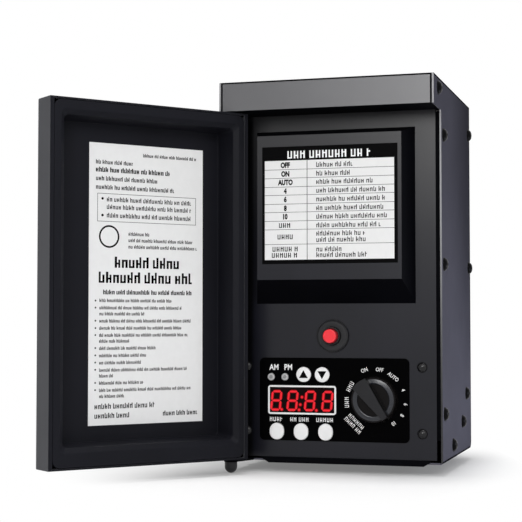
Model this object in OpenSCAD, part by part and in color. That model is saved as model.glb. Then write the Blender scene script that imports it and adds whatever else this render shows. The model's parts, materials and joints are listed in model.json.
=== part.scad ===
// Low voltage landscape transformer: a wall hung steel housing with a rain hood,
// a hinged door that stands open, a moulded front panel with timer, selector and
// reset breaker, and a toroidal transformer inside. Millimetres, +Z up, the front
// faces -Y, and the origin is the centre of the wall keyhole on the rear face.

/* [Housing] */
// Width across the two side sheets
housing_w = 145.5; // [130:0.5:200]
// Height from the bottom edge of the side sheets to the top sheet
housing_h = 254; // [245:1:320]
// Depth from the wall to the front edge of the side sheets
housing_d = 130; // [120:1:180]
// Reach of the rain hood forward of the side sheets
hood_reach = 29; // [26:0.5:45]
// Height of the front face of the hood
hood_h = 19.5; // [17:0.5:24]
// Thickness of the steel sheet
sheet_t = 1.2; // [0.8:0.1:1.6]
// Width of the folded flanges that the rivets hold
flange_w = 15; // [13:0.5:20]
// Distance of the rivets from the edge that they hold
rivet_inset = 8.5; // [7:0.5:10]
// Radius of a rivet head
rivet_head_r = 4.6; // [3:0.1:5]
// Run of the sloping wiring recess, measured out from the wall
recess_run = 58; // [50:1:64]

/* [Wall fixing] */
// Distance of the keyhole below the top sheet's outer face
hang_drop = 24; // [18:0.5:28]
// Radius of the round entry of the keyhole
keyhole_r = 5; // [4:0.1:6]
// Width of the narrow slot of the keyhole
keyhole_slot_w = 5; // [4:0.1:6]
// Radius of the two lower wall screw holes
wall_hole_r = 2.75; // [2:0.05:3.5]
// Distance between the two lower wall screw holes
wall_hole_pitch = 66; // [60:1:72]
// Height of the lower wall screw holes above the bottom edge
wall_hole_h = 14; // [10:0.5:20]

/* [Front panel] */
// Thickness of the moulded front panel
panel_t = 2.2; // [1.6:0.1:3]
// How far the panel lies behind the front edge of the side sheets
panel_recess = 1; // [0.5:0.1:2]
// Width of the raised block where it leaves the panel
block_w = 110; // [90:1:116]
// Distance of the raised block's top below the hood
block_top_gap = 11; // [9:0.5:16]
// Height of the foot of the raised block above the bottom edge
block_z = 105.5; // [101:0.5:110]
// Reach of the raised block forward of the panel
block_reach = 19; // [10:0.5:19.5]
// Width of the flat face of the raised block
block_face_w = 98.5; // [80:0.5:104]
// Lean of the raised block's top wall back from its face
block_top_draft = 5.2; // [3:0.1:8]
// Lean of the raised block's foot back from its face
block_foot_draft = 15.8; // [10:0.1:22]
// Thickness of a printed label
label_t = 0.3; // [0.2:0.05:0.5]

/* [Door] */
// Depth of the door from its rim to its outer face
door_d = 22.5; // [22:0.5:26]
// Radius of the rounded outer edges of the door
door_edge_r = 6; // [3:0.5:6.5]
// Opening angle of the door as drawn
door_angle = 130; // [0:5:180]
// Distance of the hinge line from the left side sheet's outer face
hinge_inset = 4.2; // [4:0.1:5]
// Distance of the hinge line behind the rim of the door
hinge_depth = 14.5; // [13.5:0.1:14.5]
// Radius of the two hinge pins
pin_r = 1.9; // [1.5:0.1:2]
// Depth of the tray in the door liner
tray_depth = 19; // [18:0.5:19]
// Wall of the moulded door liner
liner_t = 2; // [1.5:0.1:2]

/* [Timer] */
// Width of the glossy timer panel
timer_w = 103.4; // [100:0.2:106]
// Height of the glossy timer panel
timer_h = 56; // [54:0.2:60]
// Thickness of the glossy timer panel
timer_t = 0.8; // [0.5:0.1:1]
// Radius of the up and down buttons
small_button_r = 5.1; // [4:0.1:5.2]
// Half width of the three lower buttons
large_button_r = 5.05; // [4.5:0.05:6]
// Straight stretch that makes the three lower buttons taller than wide
large_button_stretch = 1.2; // [0.2:0.1:1.4]
// Travel of a timer button
button_travel = 0.6; // [0.4:0.1:0.8]
// Width of the frame of the display
display_w = 47.6; // [44:0.2:50]
// Height of the frame of the display
display_h = 19.6; // [18:0.2:21]

/* [Selector and reset] */
// Radius of the selector knob
knob_r = 16; // [14:0.5:16.5]
// Height of the whole knob
knob_h = 12; // [11:0.5:16]
// Radius of the selector shaft
shaft_r = 3; // [2.5:0.1:3.2]
// Radius of the ring round the reset button
ring_r = 11; // [9:0.5:12]
// Radius of the reset button
reset_r = 4.9; // [4:0.1:5.2]
// Travel of the reset button
reset_travel = 3; // [2:0.5:3.5]

/* [Transformer] */
// Outer radius of the steel core
core_r = 46; // [40:1:48]
// Radius of the hole in the steel core
core_hole_r = 26; // [24:1:28]
// Length of the steel core along its axis
core_len = 38; // [30:1:50]
// Build of each winding over what it is wound on
winding_t = 3; // [2:0.5:3.5]
// Radius of the stud that clamps the core
stud_r = 4; // [3:0.5:5]

/* [Hidden] */
$fn = 48;
fine_fn = 96;
hull_fn = 24;
overrun = 1;
seat_gap = 0.15;
fit_gap = 0.05;

// Planes and half widths that the pieces share
hang_h = housing_h - hang_drop;
half_w = housing_w / 2;
inside_w = half_w - sheet_t - seat_gap;
front_y = -housing_d;
hood_y = front_y - hood_reach;
hood_z = housing_h - hood_h;
panel_y = front_y + panel_recess;
panel_back_y = panel_y + panel_t;

// Side sheets, hood and rivets
corner_r = 5;
step_r = 2;
arc_steps = 6;
hood_flange = 12;
rivet_r = 2.4;
rivet_dome = 2.7;
hood_rivet_y = 12;
upper_rivet_drop = 16.5;
upper_rivet_z = hood_z - upper_rivet_drop;
lower_rivet_z = 32;
middle_rivet_share = 0.535;
middle_rivet_z = lower_rivet_z + middle_rivet_share * (upper_rivet_z - lower_rivet_z);
rear_rivet_drop = 22;
rear_upper_rivet_z = housing_h - rear_rivet_drop;
rear_middle_rivet_z = 133;
floor_rivet_y = 86;

// Floor sheet with its slope up to the wall
floor_z = -1;
slope_angle = 45;
slope_flange = 13;
slope_rivet_inset = 5.5;
slope_rivet_low = 27;
slope_rivet_high = 54;
lip_left_x = -51;
lip_right_x = 64.3;
lip_h = 2.5;
lip_drop = 1.4;
lip_cut_run = 4.4;
lip_cut_rise = 2.6;
ear_r = 4.6;
ear_base = 14;
rear_flange_z = 72;
rear_flange_top = housing_h - flange_w + sheet_t;
keyhole_slot = 8;

// Front panel
panel_edge_gap = 2.75;
panel_bottom = floor_z + lip_h + seat_gap;
panel_overlap = 8;
panel_flange_t = 3.75;
panel_flange_step = 1.7;
flange_face_x = inside_w - panel_flange_t;
rivet_grip = sheet_t + seat_gap + panel_flange_t + 2 * fit_gap;
block_h = hood_z - block_top_gap - block_z;
block_face_h = block_h - block_top_draft - block_foot_draft;
hull_plate = 0.01;
front_screw_shares = [0.62, 0.5];
front_screw_z = 19;
front_screw_pitch = 44;
front_screw_r = 1.7;
front_head_r = 3.5;
front_head_h = 2.2;

// Printed labels
note_side = 3;
note_drop = 7.6;
note_foot = 10.6;
note_shift = 0.5;
note_w = block_face_w - 2 * note_side;
note_h = block_face_h - note_drop - note_foot;
door_label_w = 85;
door_label_margin = 24.9;
door_label_shift = -6;
door_label_lift = 0.4;

// Door
door_gap = 1;
door_bottom = floor_z + lip_h;
door_top = hood_z - sheet_t;
door_h = door_top - door_bottom;
door_mid_z = (door_top + door_bottom) / 2;
rim_y = front_y - door_gap;
hinge_x = hinge_inset - half_w;
hinge_y = rim_y - hinge_depth;
rim_flange = 2.7;
liner_gap = 0.3;
liner_corner_r = 5;
tray_corner_r = 3;
tray_hinge_margin = 7.2;
tray_free_margin = 7.5;
tray_top_margin = 7.3;
tray_bottom_margin = 10.5;
tray_bevel = 3.2;
tray_bevel_depth = 2.5;
tray_draft = 1.5;
bush_r = 2.75;
bush_len = 6;
washer_r = 3.6;
washer_gap = 0.1;
pin_head_r = 4.2;
pin_head_len = 3.3;
pin_reach = 8;
upper_head_r = hinge_inset - sheet_t - 2 * seat_gap;
upper_head_h = 2;

// Timer, its board and what the board carries
timer_x = -1.2;
timer_z = 40.8;
timer_corner_r = 3.4;
board_gap = 10.8;
board_y = panel_back_y + board_gap;
board_t = 1.6;
board_side_gap = 0.8;
board_screw_edge = 6.5;
board_w = 2 * (flange_face_x - board_side_gap);
board_h = front_screw_pitch + 2 * board_screw_edge;
board_mid_z = front_screw_z + front_screw_pitch / 2;
spacer_r = 2.7;
nut_flat_share = 1.75;
nut_h = 2.6;
display_x = -23.1;
display_z = 40.3;
display_rim = 1.2;
display_corner_r = 1.8;
display_rim_t = 0.5;
window_t = 1;
lens_r = 2.5;
lens_z = 55.8;
lens_x = [-44.8, -35.1];
lens_proud = 0.7;
small_button_x = [-21.9, -9];
small_button_z = 57.5;
large_button_x = [-40.8, -23.8, -6.7];
large_button_z = 18.95;
button_gap = 0.15;
button_proud = 0.8;
button_rim = 1;
button_edge = 0.4;
button_flange = 1;
stem_r = 1.75;
switch_w = 6;
switch_h = 3.5;
switch_tip = 1.2;
relay_w = 19;
relay_h = 15.5;
relay_d = 15.5;
relay_x = 22;
relay_z = 44;
chip_w = 18;
chip_h = 7.5;
chip_d = 3;
chip_x = -24;
capacitor_r = 5;
capacitor_len = 14;
capacitor_x = [-52, -40];
capacitor_z = 40;
plug_w = 24;
plug_h = 8;
plug_d = 10;
plug_z = 60;

// Selector
knob_x = 27.2;
knob_z = 41.2;
knob_angle = -53;
skirt_h = 5;
skirt_draft = 1;
skirt_gap = 0.6;
grip_wide = 11.6;
grip_narrow = 3.6;
grip_top = 2.5;
bushing_r = 4.5;
bushing_proud = 4.5;
shaft_clearance = 0.05;
selector_body_r = 12;
selector_nut_r = 6.5;
selector_nut_h = 2;
shaft_depth = 8;
shaft_reach = 9.5;

// Reset breaker
reset_x = -1.6;
reset_z = 83.7;
reset_proud = 10.5;
neck_r = 6.1;
neck_proud = 6.5;
ring_h = 3.2;
ring_edge = 1.4;
breaker_w = 34;
breaker_h = 14;
breaker_d = 28;
button_clearance = 0.08;
button_stem_gap = 4;
tab_w = 6.3;
tab_t = 0.8;
tab_len = 8;
tab_pitch = 20;

// Transformer
core_drop = 90;
core_z = housing_h - core_drop;
pad_t = 2;
pad_r = 47;
stud_head_r = 7;
wound_gap = 0.2;
wound_corner_r = 4;
dish_r = 38;
dish_t = 2;
dish_depth = 4;
dish_flat_share = 0.45;
stud_nut_h = 6.5;
core_back_y = -sheet_t - pad_t;
core_mid_y = core_back_y - wound_gap - core_len / 2 - 2 * winding_t - wound_gap;

// Output terminals and glands on the slope
terminal_n = 4;
terminal_pitch = 11;
terminal_depth = 15;
terminal_base = 7;
terminal_barrier = 12;
barrier_t = 1.6;
terminal_screw_r = 3.2;
terminal_screw_h = 2;
boss_w = 34;
boss_depth = 8;
boss_h = 5;
gland_x = 50;
gland_hex_r = 8.5;
gland_hex_h = 5;
gland_cap_r = 7.5;
gland_cap_h = 8;
gland_thread_r = 5.9;
gland_inner = 6;
cord_hole_r = 3.9;
sensor_hole_r = 2.3;
ground_x = 60;
ground_z = 90;
ground_screw_r = 2;
ground_head_r = 4;
ground_head_h = 2.6;

// Internal leads
lead_r = 1.4;
lead_sides = 8;
lead_steps = 14;
lead_pull = 30;
primary_lead_x = 26;
tab_lead_x = -14;
terminal_lead_x = -3;
boss_lead_x = 12;

// Moves a piece from heights above the bottom edge to heights from the keyhole
module hung() { translate([0, 0, -hang_h]) children(); }

// Turns a piece of the closed door to the angle at which it stands open
module opened() {
    translate([hinge_x, hinge_y, 0]) rotate([0, 0, -door_angle])
        translate([-hinge_x, -hinge_y, 0]) children();
}

// Extrudes an outline in X and Z towards the front, from a plane at y
module upright(y, t) { translate([0, y, 0]) rotate([90, 0, 0]) linear_extrude(t) children(); }

// Extrudes an outline in Y and Z along +X, from a plane at x
module across(x, len) { translate([x, 0, 0]) rotate([90, 0, 90]) linear_extrude(len) children(); }

// Round bar towards the front, from y
module rod(x, z, y, len, r, n = $fn) {
    translate([x, y, z]) rotate([90, 0, 0]) cylinder(r = r, h = len, $fn = n);
}

// Bar towards the front, from y, that is a round bar drawn out in height by a straight stretch
module oval_rod(x, z, y, len, r, stretch) {
    for (side = [-1, 1]) rod(x, z + side * stretch / 2, y, len, r);
    if (stretch > 0)
        translate([x - r, y - len, z - stretch / 2]) cube([2 * r, len, stretch]);
}

// Hexagonal bar towards the front, from y
module hex_rod(x, z, y, len, r) { rod(x, z, y, len, r, 6); }

// Rectangle with true round corners, centred
module rounded_rect(w, h, r) {
    square([w - 2 * r, h], center = true);
    square([w, h - 2 * r], center = true);
    for (x = [-1, 1], z = [-1, 1])
        translate([x * (w / 2 - r), z * (h / 2 - r)]) circle(r);
}

// Domed head with its flat side on a plane, rising along +Z
module dome(r, h) {
    ball = (r * r + h * h) / (2 * h);
    intersection() {
        translate([0, 0, h - ball]) sphere(ball, $fn = fine_fn);
        cylinder(r = r, h = h);
    }
}

function arc_points(x, y, r, from, to) =
    [for (i = [0 : arc_steps]) let (a = from + (to - from) * i / arc_steps)
        [x + r * cos(a), y + r * sin(a)]];

// Where the rivets sit on a side sheet, as y and height
slope_foot = -recess_run;
function on_slope_line(s) = [slope_foot + s * cos(slope_angle) - slope_rivet_inset * sin(slope_angle),
    floor_z + s * sin(slope_angle) + slope_rivet_inset * cos(slope_angle)];
rivet_places = [[front_y - hood_rivet_y, housing_h - sheet_t - hood_flange / 2],
    [front_y + rivet_inset, upper_rivet_z], [front_y + rivet_inset, middle_rivet_z],
    [front_y + rivet_inset, lower_rivet_z], [-rivet_inset, rear_upper_rivet_z],
    [-rivet_inset, rear_middle_rivet_z], [-floor_rivet_y, floor_z + sheet_t + rivet_inset],
    on_slope_line(slope_rivet_low), on_slope_line(slope_rivet_high)];

module rivet_bores() {
    for (p = rivet_places, side = [-1, 1])
        translate([side * (half_w + overrun), p.x, p.y]) rotate([0, -side * 90, 0])
            cylinder(r = rivet_r, h = rivet_grip + 2 * overrun);
}

module rivets(side) {
    for (p = rivet_places) translate([side * half_w, p.x, p.y]) rotate([0, side * 90, 0]) {
        dome(rivet_head_r, rivet_dome);
        translate([0, 0, -rivet_grip]) cylinder(r = rivet_r - fit_gap, h = rivet_grip);
    }
}

// Housing
module side_outline() {
    polygon(concat(
        arc_points(-corner_r, corner_r, corner_r, -90, 0),
        [[0, housing_h], [hood_y, housing_h], [hood_y, hood_z]],
        arc_points(front_y - step_r, hood_z - step_r, step_r, 90, 0),
        [[front_y, 0]]));
}

module side_panel(side) {
    color("#2b2b31") hung() difference() {
        across(side > 0 ? half_w - sheet_t : -half_w, sheet_t) side_outline();
        rivet_bores();
    }
}

module left_side_panel() { side_panel(-1); }

module right_side_panel() { side_panel(1); }

module left_side_rivets() { color("#1c1c20") hung() rivets(-1); }

module right_side_rivets() { color("#1c1c20") hung() rivets(1); }

module hood_cover() {
    t = sheet_t;
    cover_y = panel_y - seat_gap;
    color("#3a3a3e") hung() difference() {
        union() {
            across(-inside_w, 2 * inside_w) polygon([[0, housing_h], [hood_y, housing_h],
                [hood_y, hood_z], [cover_y, hood_z], [cover_y, hood_z + t], [hood_y + t, hood_z + t],
                [hood_y + t, housing_h - t], [0, housing_h - t]]);
            for (x = [-inside_w, inside_w - t])
                across(x, t) polygon([[-flange_w, housing_h - t], [hood_y + t, housing_h - t],
                    [hood_y + t, housing_h - t - hood_flange],
                    [-flange_w, housing_h - t - hood_flange]]);
        }
        rivet_bores();
        translate([hinge_x, hinge_y, hood_z - overrun])
            cylinder(r = pin_r + fit_gap, h = t + 2 * overrun);
    }
}

module keyhole_cut() {
    rod(0, hang_h, overrun, sheet_t + 2 * overrun, keyhole_r);
    translate([-keyhole_slot_w / 2, -sheet_t - overrun, hang_h])
        cube([keyhole_slot_w, sheet_t + 2 * overrun, keyhole_slot]);
    rod(0, hang_h + keyhole_slot, overrun, sheet_t + 2 * overrun, keyhole_slot_w / 2);
}

module back_plate() {
    top = housing_h - sheet_t - seat_gap;
    color("#2b2b31") hung() difference() {
        union() {
            translate([-inside_w, -sheet_t, corner_r]) cube([2 * inside_w, sheet_t, top - corner_r]);
            for (x = [-inside_w, inside_w - sheet_t])
                translate([x, -flange_w, rear_flange_z])
                    cube([sheet_t, flange_w, rear_flange_top - rear_flange_z]);
        }
        keyhole_cut();
        rivet_bores();
        for (side = [-1, 1])
            rod(side * wall_hole_pitch / 2, wall_hole_h, overrun, sheet_t + 2 * overrun, wall_hole_r);
        rod(0, core_z, overrun, sheet_t + 2 * overrun, stud_head_r + fit_gap);
        rod(ground_x, ground_z, overrun, sheet_t + 2 * overrun, ground_screw_r + fit_gap);
    }
}

// Floor sheet and its side flanges as outlines in Y and Z
module floor_outline(thick, start_y) {
    end_y = -sheet_t - seat_gap;
    rise = end_y - slope_foot;
    lift = thick * tan(slope_angle / 2);
    polygon([[start_y, floor_z], [slope_foot, floor_z], [end_y, floor_z + rise * tan(slope_angle)],
        [end_y, floor_z + rise * tan(slope_angle) + thick / cos(slope_angle)],
        [slope_foot - lift, floor_z + thick], [start_y, floor_z + thick]]);
}

module lip_outline() {
    top = floor_z + lip_h;
    low = floor_z - lip_drop;
    polygon([[lip_left_x, top], [lip_left_x, low + lip_cut_rise], [lip_left_x + lip_cut_run, low],
        [lip_right_x - lip_cut_run, low], [lip_right_x, low + lip_cut_rise], [lip_right_x, top]]);
}

module hinge_ear() {
    translate([0, 0, floor_z]) linear_extrude(sheet_t) hull() {
        translate([hinge_x, hinge_y]) circle(ear_r, $fn = hull_fn);
        translate([-inside_w, front_y]) square([ear_base, sheet_t]);
    }
}

module bottom_plate() {
    flange_start = panel_back_y + flange_w + seat_gap;
    color("#2b2b31") hung() difference() {
        union() {
            across(-inside_w, 2 * inside_w) floor_outline(sheet_t, front_y + sheet_t);
            for (x = [-inside_w, inside_w - sheet_t])
                across(x, sheet_t) floor_outline(slope_flange, flange_start);
            upright(front_y + sheet_t, sheet_t) lip_outline();
            translate([-inside_w, front_y, floor_z]) cube([ear_base, 2 * sheet_t, sheet_t]);
            hinge_ear();
        }
        rivet_bores();
        translate([hinge_x, hinge_y, floor_z - overrun])
            cylinder(r = pin_r + fit_gap, h = sheet_t + 2 * overrun);
        for (x = [-gland_x, gland_x])
            on_slope(x) cylinder(r = gland_thread_r + fit_gap, h = 4 * sheet_t, center = true);
        on_slope(0) translate([0, 0, -2 * sheet_t]) linear_extrude(4 * sheet_t)
            square([boss_w + 2 * seat_gap, boss_depth + 2 * seat_gap], center = true);
    }
}

// Places a piece on the outside of the sloping floor, with +Z pointing out of it
module on_slope(x) {
    translate([x, slope_foot / 2, floor_z - slope_foot / 2 * tan(slope_angle)])
        rotate([-180 + slope_angle, 0, 0]) children();
}

// Front panel
module block_plate(w, h, z_mid, y) {
    upright(y + hull_plate, hull_plate) translate([0, z_mid]) square([w, h], center = true);
}

module block_form(inset, reach, back_y) {
    face_z = block_z + block_h - block_top_draft - block_face_h / 2;
    hull() {
        block_plate(block_w - 2 * inset, block_h - 2 * inset, block_z + block_h / 2, back_y);
        block_plate(block_w - 2 * inset, block_h - 2 * inset, block_z + block_h / 2, panel_y);
        block_plate(block_face_w - 2 * inset, block_face_h - 2 * inset, face_z, panel_y - reach);
    }
}

module front_panel() {
    top = hood_z + panel_overlap;
    wide = inside_w - panel_edge_gap;
    color("#26262a") hung() difference() {
        union() {
            translate([-wide, panel_y, panel_bottom]) cube([2 * wide, panel_t, top - panel_bottom]);
            for (x = [-inside_w, flange_face_x])
                translate([x, panel_y + panel_flange_step, panel_bottom + slope_flange])
                    cube([panel_flange_t, flange_w,
                        upper_rivet_z + flange_w - panel_bottom - slope_flange]);
            block_form(0, block_reach, panel_back_y - panel_t / 2);
        }
        block_form(panel_t, block_reach - panel_t, panel_back_y + overrun);
        rivet_bores();
        rod(reset_x, reset_z, panel_back_y + overrun, panel_t + 2 * overrun, neck_r + fit_gap);
        rod(knob_x, knob_z, panel_back_y + overrun, panel_t + 2 * overrun, bushing_r + fit_gap);
        upright(panel_back_y + overrun, panel_t + 2 * overrun) translate([display_x, display_z])
            square([display_w - 2 * display_rim, display_h - 2 * display_rim], center = true);
        button_bores(panel_back_y + overrun, panel_t + 2 * overrun);
        front_screw_places() rod(0, 0, panel_back_y + overrun, panel_t + 2 * overrun,
            front_screw_r + fit_gap);
    }
}

module front_screw_places() {
    for (i = [0, 1], z = [0, 1]) {
        side = 2 * i - 1;
        edge = timer_x + side * timer_w / 2;
        translate([edge + front_screw_shares[i] * (side * flange_face_x - edge), 0,
            front_screw_z + z * front_screw_pitch]) children();
    }
}

module button_bores(y, len) {
    for (x = small_button_x) rod(x, small_button_z, y, len, small_button_r + button_gap);
    for (x = large_button_x)
        oval_rod(x, large_button_z, y, len, large_button_r + button_gap, large_button_stretch);
    for (x = lens_x) rod(x, lens_z, y, len, lens_r + button_gap);
}

module front_screws() {
    color("#1c1c20") hung() front_screw_places() {
        translate([0, panel_y, 0]) rotate([90, 0, 0]) dome(front_head_r, front_head_h);
        rod(0, 0, board_y + board_t + nut_h, board_y + board_t + nut_h - panel_y, front_screw_r);
    }
}

module instruction_label() {
    face_top = block_z + block_h - block_top_draft;
    color("#e8e8e8") hung() upright(panel_y - block_reach, label_t)
        translate([note_shift, face_top - note_drop - note_h / 2])
            square([note_w, note_h], center = true);
}

// Hinge pins and washers
module lower_hinge_pin() {
    color("#26262a") hung() translate([hinge_x, hinge_y, floor_z]) {
        translate([0, 0, -pin_head_len]) cylinder(r = pin_head_r, h = pin_head_len);
        translate([0, 0, -pin_head_len]) mirror([0, 0, 1]) dome(pin_head_r, pin_head_r);
        cylinder(r = pin_r, h = door_bottom - floor_z + pin_reach);
    }
}

module upper_hinge_pin() {
    color("#26262a") hung() translate([hinge_x, hinge_y, hood_z + sheet_t]) {
        cylinder(r = upper_head_r, h = upper_head_h);
        translate([0, 0, door_top - hood_z - sheet_t - pin_reach])
            cylinder(r = pin_r, h = hood_z + sheet_t - door_top + pin_reach);
    }
}

module hinge_washer(low, high) {
    color("#d8d8d0") hung() translate([hinge_x, hinge_y, low + washer_gap]) difference() {
        cylinder(r = washer_r, h = high - low - 2 * washer_gap);
        translate([0, 0, -overrun])
            cylinder(r = pin_r + fit_gap, h = high - low + 2 * overrun);
    }
}

module lower_hinge_washer() { hinge_washer(floor_z + sheet_t, door_bottom); }

module upper_hinge_washer() { hinge_washer(door_top, hood_z); }

// Door, drawn closed and then turned open
module door_profile(len, depth, r) {
    translate([-len / 2, 0]) square([len, depth - r]);
    translate([r - len / 2, 0]) square([len - 2 * r, depth]);
    for (side = [-1, 1]) translate([side * (len / 2 - r), depth - r]) circle(r, $fn = fine_fn);
}

// Body with rounded front edges: the two profiles cross like a folded and dressed sheet
module door_body(inset, back_y) {
    w = housing_w - 2 * inset;
    h = door_h - 2 * inset;
    depth = door_d - inset;
    r = door_edge_r - inset;
    translate([0, rim_y, door_mid_z]) intersection() {
        translate([0, 0, -h / 2]) linear_extrude(h) mirror([0, 1, 0]) {
            door_profile(w, depth, r);
            translate([-w / 2, -back_y]) square([w, back_y + overrun]);
        }
        translate([-w / 2, 0, 0]) rotate([90, 0, 90]) linear_extrude(w) rotate(90) {
            door_profile(h, depth, r);
            translate([-h / 2, -back_y]) square([h, back_y + overrun]);
        }
    }
}

module hinge_bore(r) {
    translate([hinge_x, hinge_y, door_bottom - overrun])
        cylinder(r = r, h = door_h + 2 * overrun);
}

module door_shell() {
    color("#2b2b31") hung() opened() difference() {
        union() {
            difference() {
                door_body(0, 0);
                door_body(sheet_t, overrun);
            }
            for (x = [-half_w + sheet_t / 2, half_w - rim_flange])
                translate([x, rim_y - sheet_t, door_bottom + sheet_t / 2])
                    cube([rim_flange - sheet_t / 2, sheet_t, door_h - sheet_t]);
        }
        hinge_bore(bush_r + fit_gap);
    }
}

module tray_plate(grow, y) {
    w = housing_w - tray_hinge_margin - tray_free_margin + 2 * grow;
    h = door_h - tray_top_margin - tray_bottom_margin + 2 * grow;
    upright(y, hull_plate) translate([(tray_hinge_margin - tray_free_margin) / 2,
            door_mid_z + (tray_bottom_margin - tray_top_margin) / 2])
            rounded_rect(w, h, tray_corner_r);
}

module tray_form(grow, depth) {
    hull($fn = hull_fn) {
        tray_plate(grow - tray_bevel, rim_y - tray_bevel_depth);
        tray_plate(grow - tray_bevel - tray_draft, rim_y - depth + hull_plate);
    }
    hull($fn = hull_fn) {
        tray_plate(grow, rim_y + (grow > 0 ? 0 : hull_plate));
        tray_plate(grow - tray_bevel, rim_y - tray_bevel_depth);
    }
}

module door_liner() {
    w = housing_w - 2 * (rim_flange + liner_gap);
    h = door_h - 2 * (sheet_t + liner_gap);
    color("#232327") hung() opened() difference() {
        union() {
            upright(rim_y, liner_t) translate([0, door_mid_z]) rounded_rect(w, h, liner_corner_r);
            tray_form(liner_t, tray_depth + liner_t);
        }
        tray_form(0, tray_depth);
    }
}

module door_label() {
    color("#e8e8e8") hung() opened() upright(rim_y - tray_depth + label_t, label_t)
        translate([door_label_shift, door_mid_z + door_label_lift])
            square([door_label_w, door_h - 2 * door_label_margin], center = true);
}

module hinge_bush(z, up) {
    color("#d8d8d0") hung() opened() translate([hinge_x, hinge_y, z]) mirror([0, 0, up ? 0 : 1])
        difference() {
            cylinder(r = bush_r, h = bush_len);
            translate([0, 0, -overrun])
                cylinder(r = pin_r + fit_gap, h = bush_len + 2 * overrun);
        }
}

module lower_hinge_bush() { hinge_bush(door_bottom, true); }

module upper_hinge_bush() { hinge_bush(door_top, false); }

// Timer panel, display and board
module timer_panel() {
    color("#050507") hung() difference() {
        upright(panel_y, timer_t) translate([timer_x, timer_z])
            rounded_rect(timer_w, timer_h, timer_corner_r);
        upright(panel_y + overrun, timer_t + 2 * overrun) translate([display_x, display_z])
            square([display_w - 2 * display_rim, display_h - 2 * display_rim], center = true);
        button_bores(panel_y + overrun, timer_t + 2 * overrun);
        rod(knob_x, knob_z, panel_y + overrun, timer_t + 2 * overrun, bushing_r + fit_gap);
    }
}

module display_frame() {
    color("#f2f2f2") hung() difference() {
        upright(panel_y - timer_t, display_rim_t) translate([display_x, display_z])
            rounded_rect(display_w, display_h, display_corner_r);
        upright(panel_y - timer_t + overrun, display_rim_t + 2 * overrun)
            translate([display_x, display_z])
                square([display_w - 2 * display_rim, display_h - 2 * display_rim], center = true);
    }
}

module display_window() {
    w = display_w - 2 * display_rim - 2 * fit_gap;
    h = display_h - 2 * display_rim - 2 * fit_gap;
    color("#40080c") hung() upright(panel_y - timer_t + window_t, window_t)
        translate([display_x, display_z]) square([w, h], center = true);
}

module display_module() {
    w = display_w - 2 * display_rim - 2 * fit_gap;
    h = display_h - 2 * display_rim - 2 * fit_gap;
    back = board_y;
    front = panel_y - timer_t + window_t;
    color("#303034") hung() upright(back, back - front - fit_gap)
        translate([display_x, display_z]) square([w, h], center = true);
}

module timer_board() {
    color("#1f5a34") hung() difference() {
        upright(board_y + board_t, board_t) translate([0, board_mid_z])
            rounded_rect(board_w, board_h, timer_corner_r);
        front_screw_places() rod(0, 0, board_y + board_t + overrun, board_t + 2 * overrun,
            front_screw_r + fit_gap);
    }
}

module board_spacers() {
    color("#c8c8c8") hung() front_screw_places() difference() {
        rod(0, 0, board_y, board_y - panel_back_y, spacer_r);
        rod(0, 0, board_y + overrun, board_y - panel_back_y + 2 * overrun, front_screw_r + fit_gap);
    }
}

module board_nuts() {
    nut_r = front_screw_r * nut_flat_share;
    color("#c8c8c8") hung() front_screw_places() difference() {
        hex_rod(0, 0, board_y + board_t + nut_h, nut_h, nut_r);
        rod(0, 0, board_y + board_t + nut_h + overrun, nut_h + 2 * overrun, front_screw_r + fit_gap);
    }
}

module am_pm_lenses() {
    color("#c8c8c8") hung() for (x = lens_x) {
        rod(x, lens_z, board_y, board_y - panel_y + timer_t, lens_r);
        translate([x, panel_y - timer_t, lens_z]) rotate([90, 0, 0]) dome(lens_r, lens_proud);
    }
}

// Height of the back end of a button stem, clear of its switch over the whole travel
stem_y = board_y - switch_h - switch_tip - button_travel - 2 * fit_gap;

module push_switches() {
    places = concat([for (x = small_button_x) [x, small_button_z]],
        [for (x = large_button_x) [x, large_button_z]]);
    color("#8c8c90") hung() for (p = places) {
        upright(board_y, switch_h) translate(p) square(switch_w, center = true);
        rod(p.x, p.y, board_y - switch_h, switch_tip, stem_r);
    }
}

module button(x, z, r, stretch) {
    face_y = panel_y - timer_t - button_proud;
    color("#f4f4f4") hung() {
        oval_rod(x, z, panel_back_y + button_flange,
            panel_back_y + button_flange - face_y - button_edge, r, stretch);
        oval_rod(x, z, face_y + button_edge, button_edge, r - button_edge, stretch);
        oval_rod(x, z, panel_back_y + fit_gap + button_flange, button_flange, r + button_rim, stretch);
        rod(x, z, stem_y, stem_y - panel_back_y, stem_r);
    }
}

module up_button() { button(small_button_x[0], small_button_z, small_button_r, 0); }

module down_button() { button(small_button_x[1], small_button_z, small_button_r, 0); }

module large_button(i) {
    button(large_button_x[i], large_button_z, large_button_r, large_button_stretch);
}

module clock_button() { large_button(0); }

module timed_on_button() { large_button(1); }

module timed_off_button() { large_button(2); }

// A component on the rear of the board
module board_block(x, z, w, h, d) {
    translate([x - w / 2, board_y + board_t, z - h / 2]) cube([w, d, h]);
}

module relay() { color("#2050a0") hung() board_block(relay_x, relay_z, relay_w, relay_h, relay_d); }

module timer_chip() { color("#202022") hung() board_block(chip_x, board_mid_z, chip_w, chip_h, chip_d); }

module capacitors() {
    color("#303060") hung() for (x = capacitor_x)
        rod(x, capacitor_z, board_y + board_t + capacitor_len, capacitor_len, capacitor_r);
}

module board_plug() {
    color("#e6e2d2") hung() board_block(timer_x, plug_z, plug_w, plug_h, plug_d);
}

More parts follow.
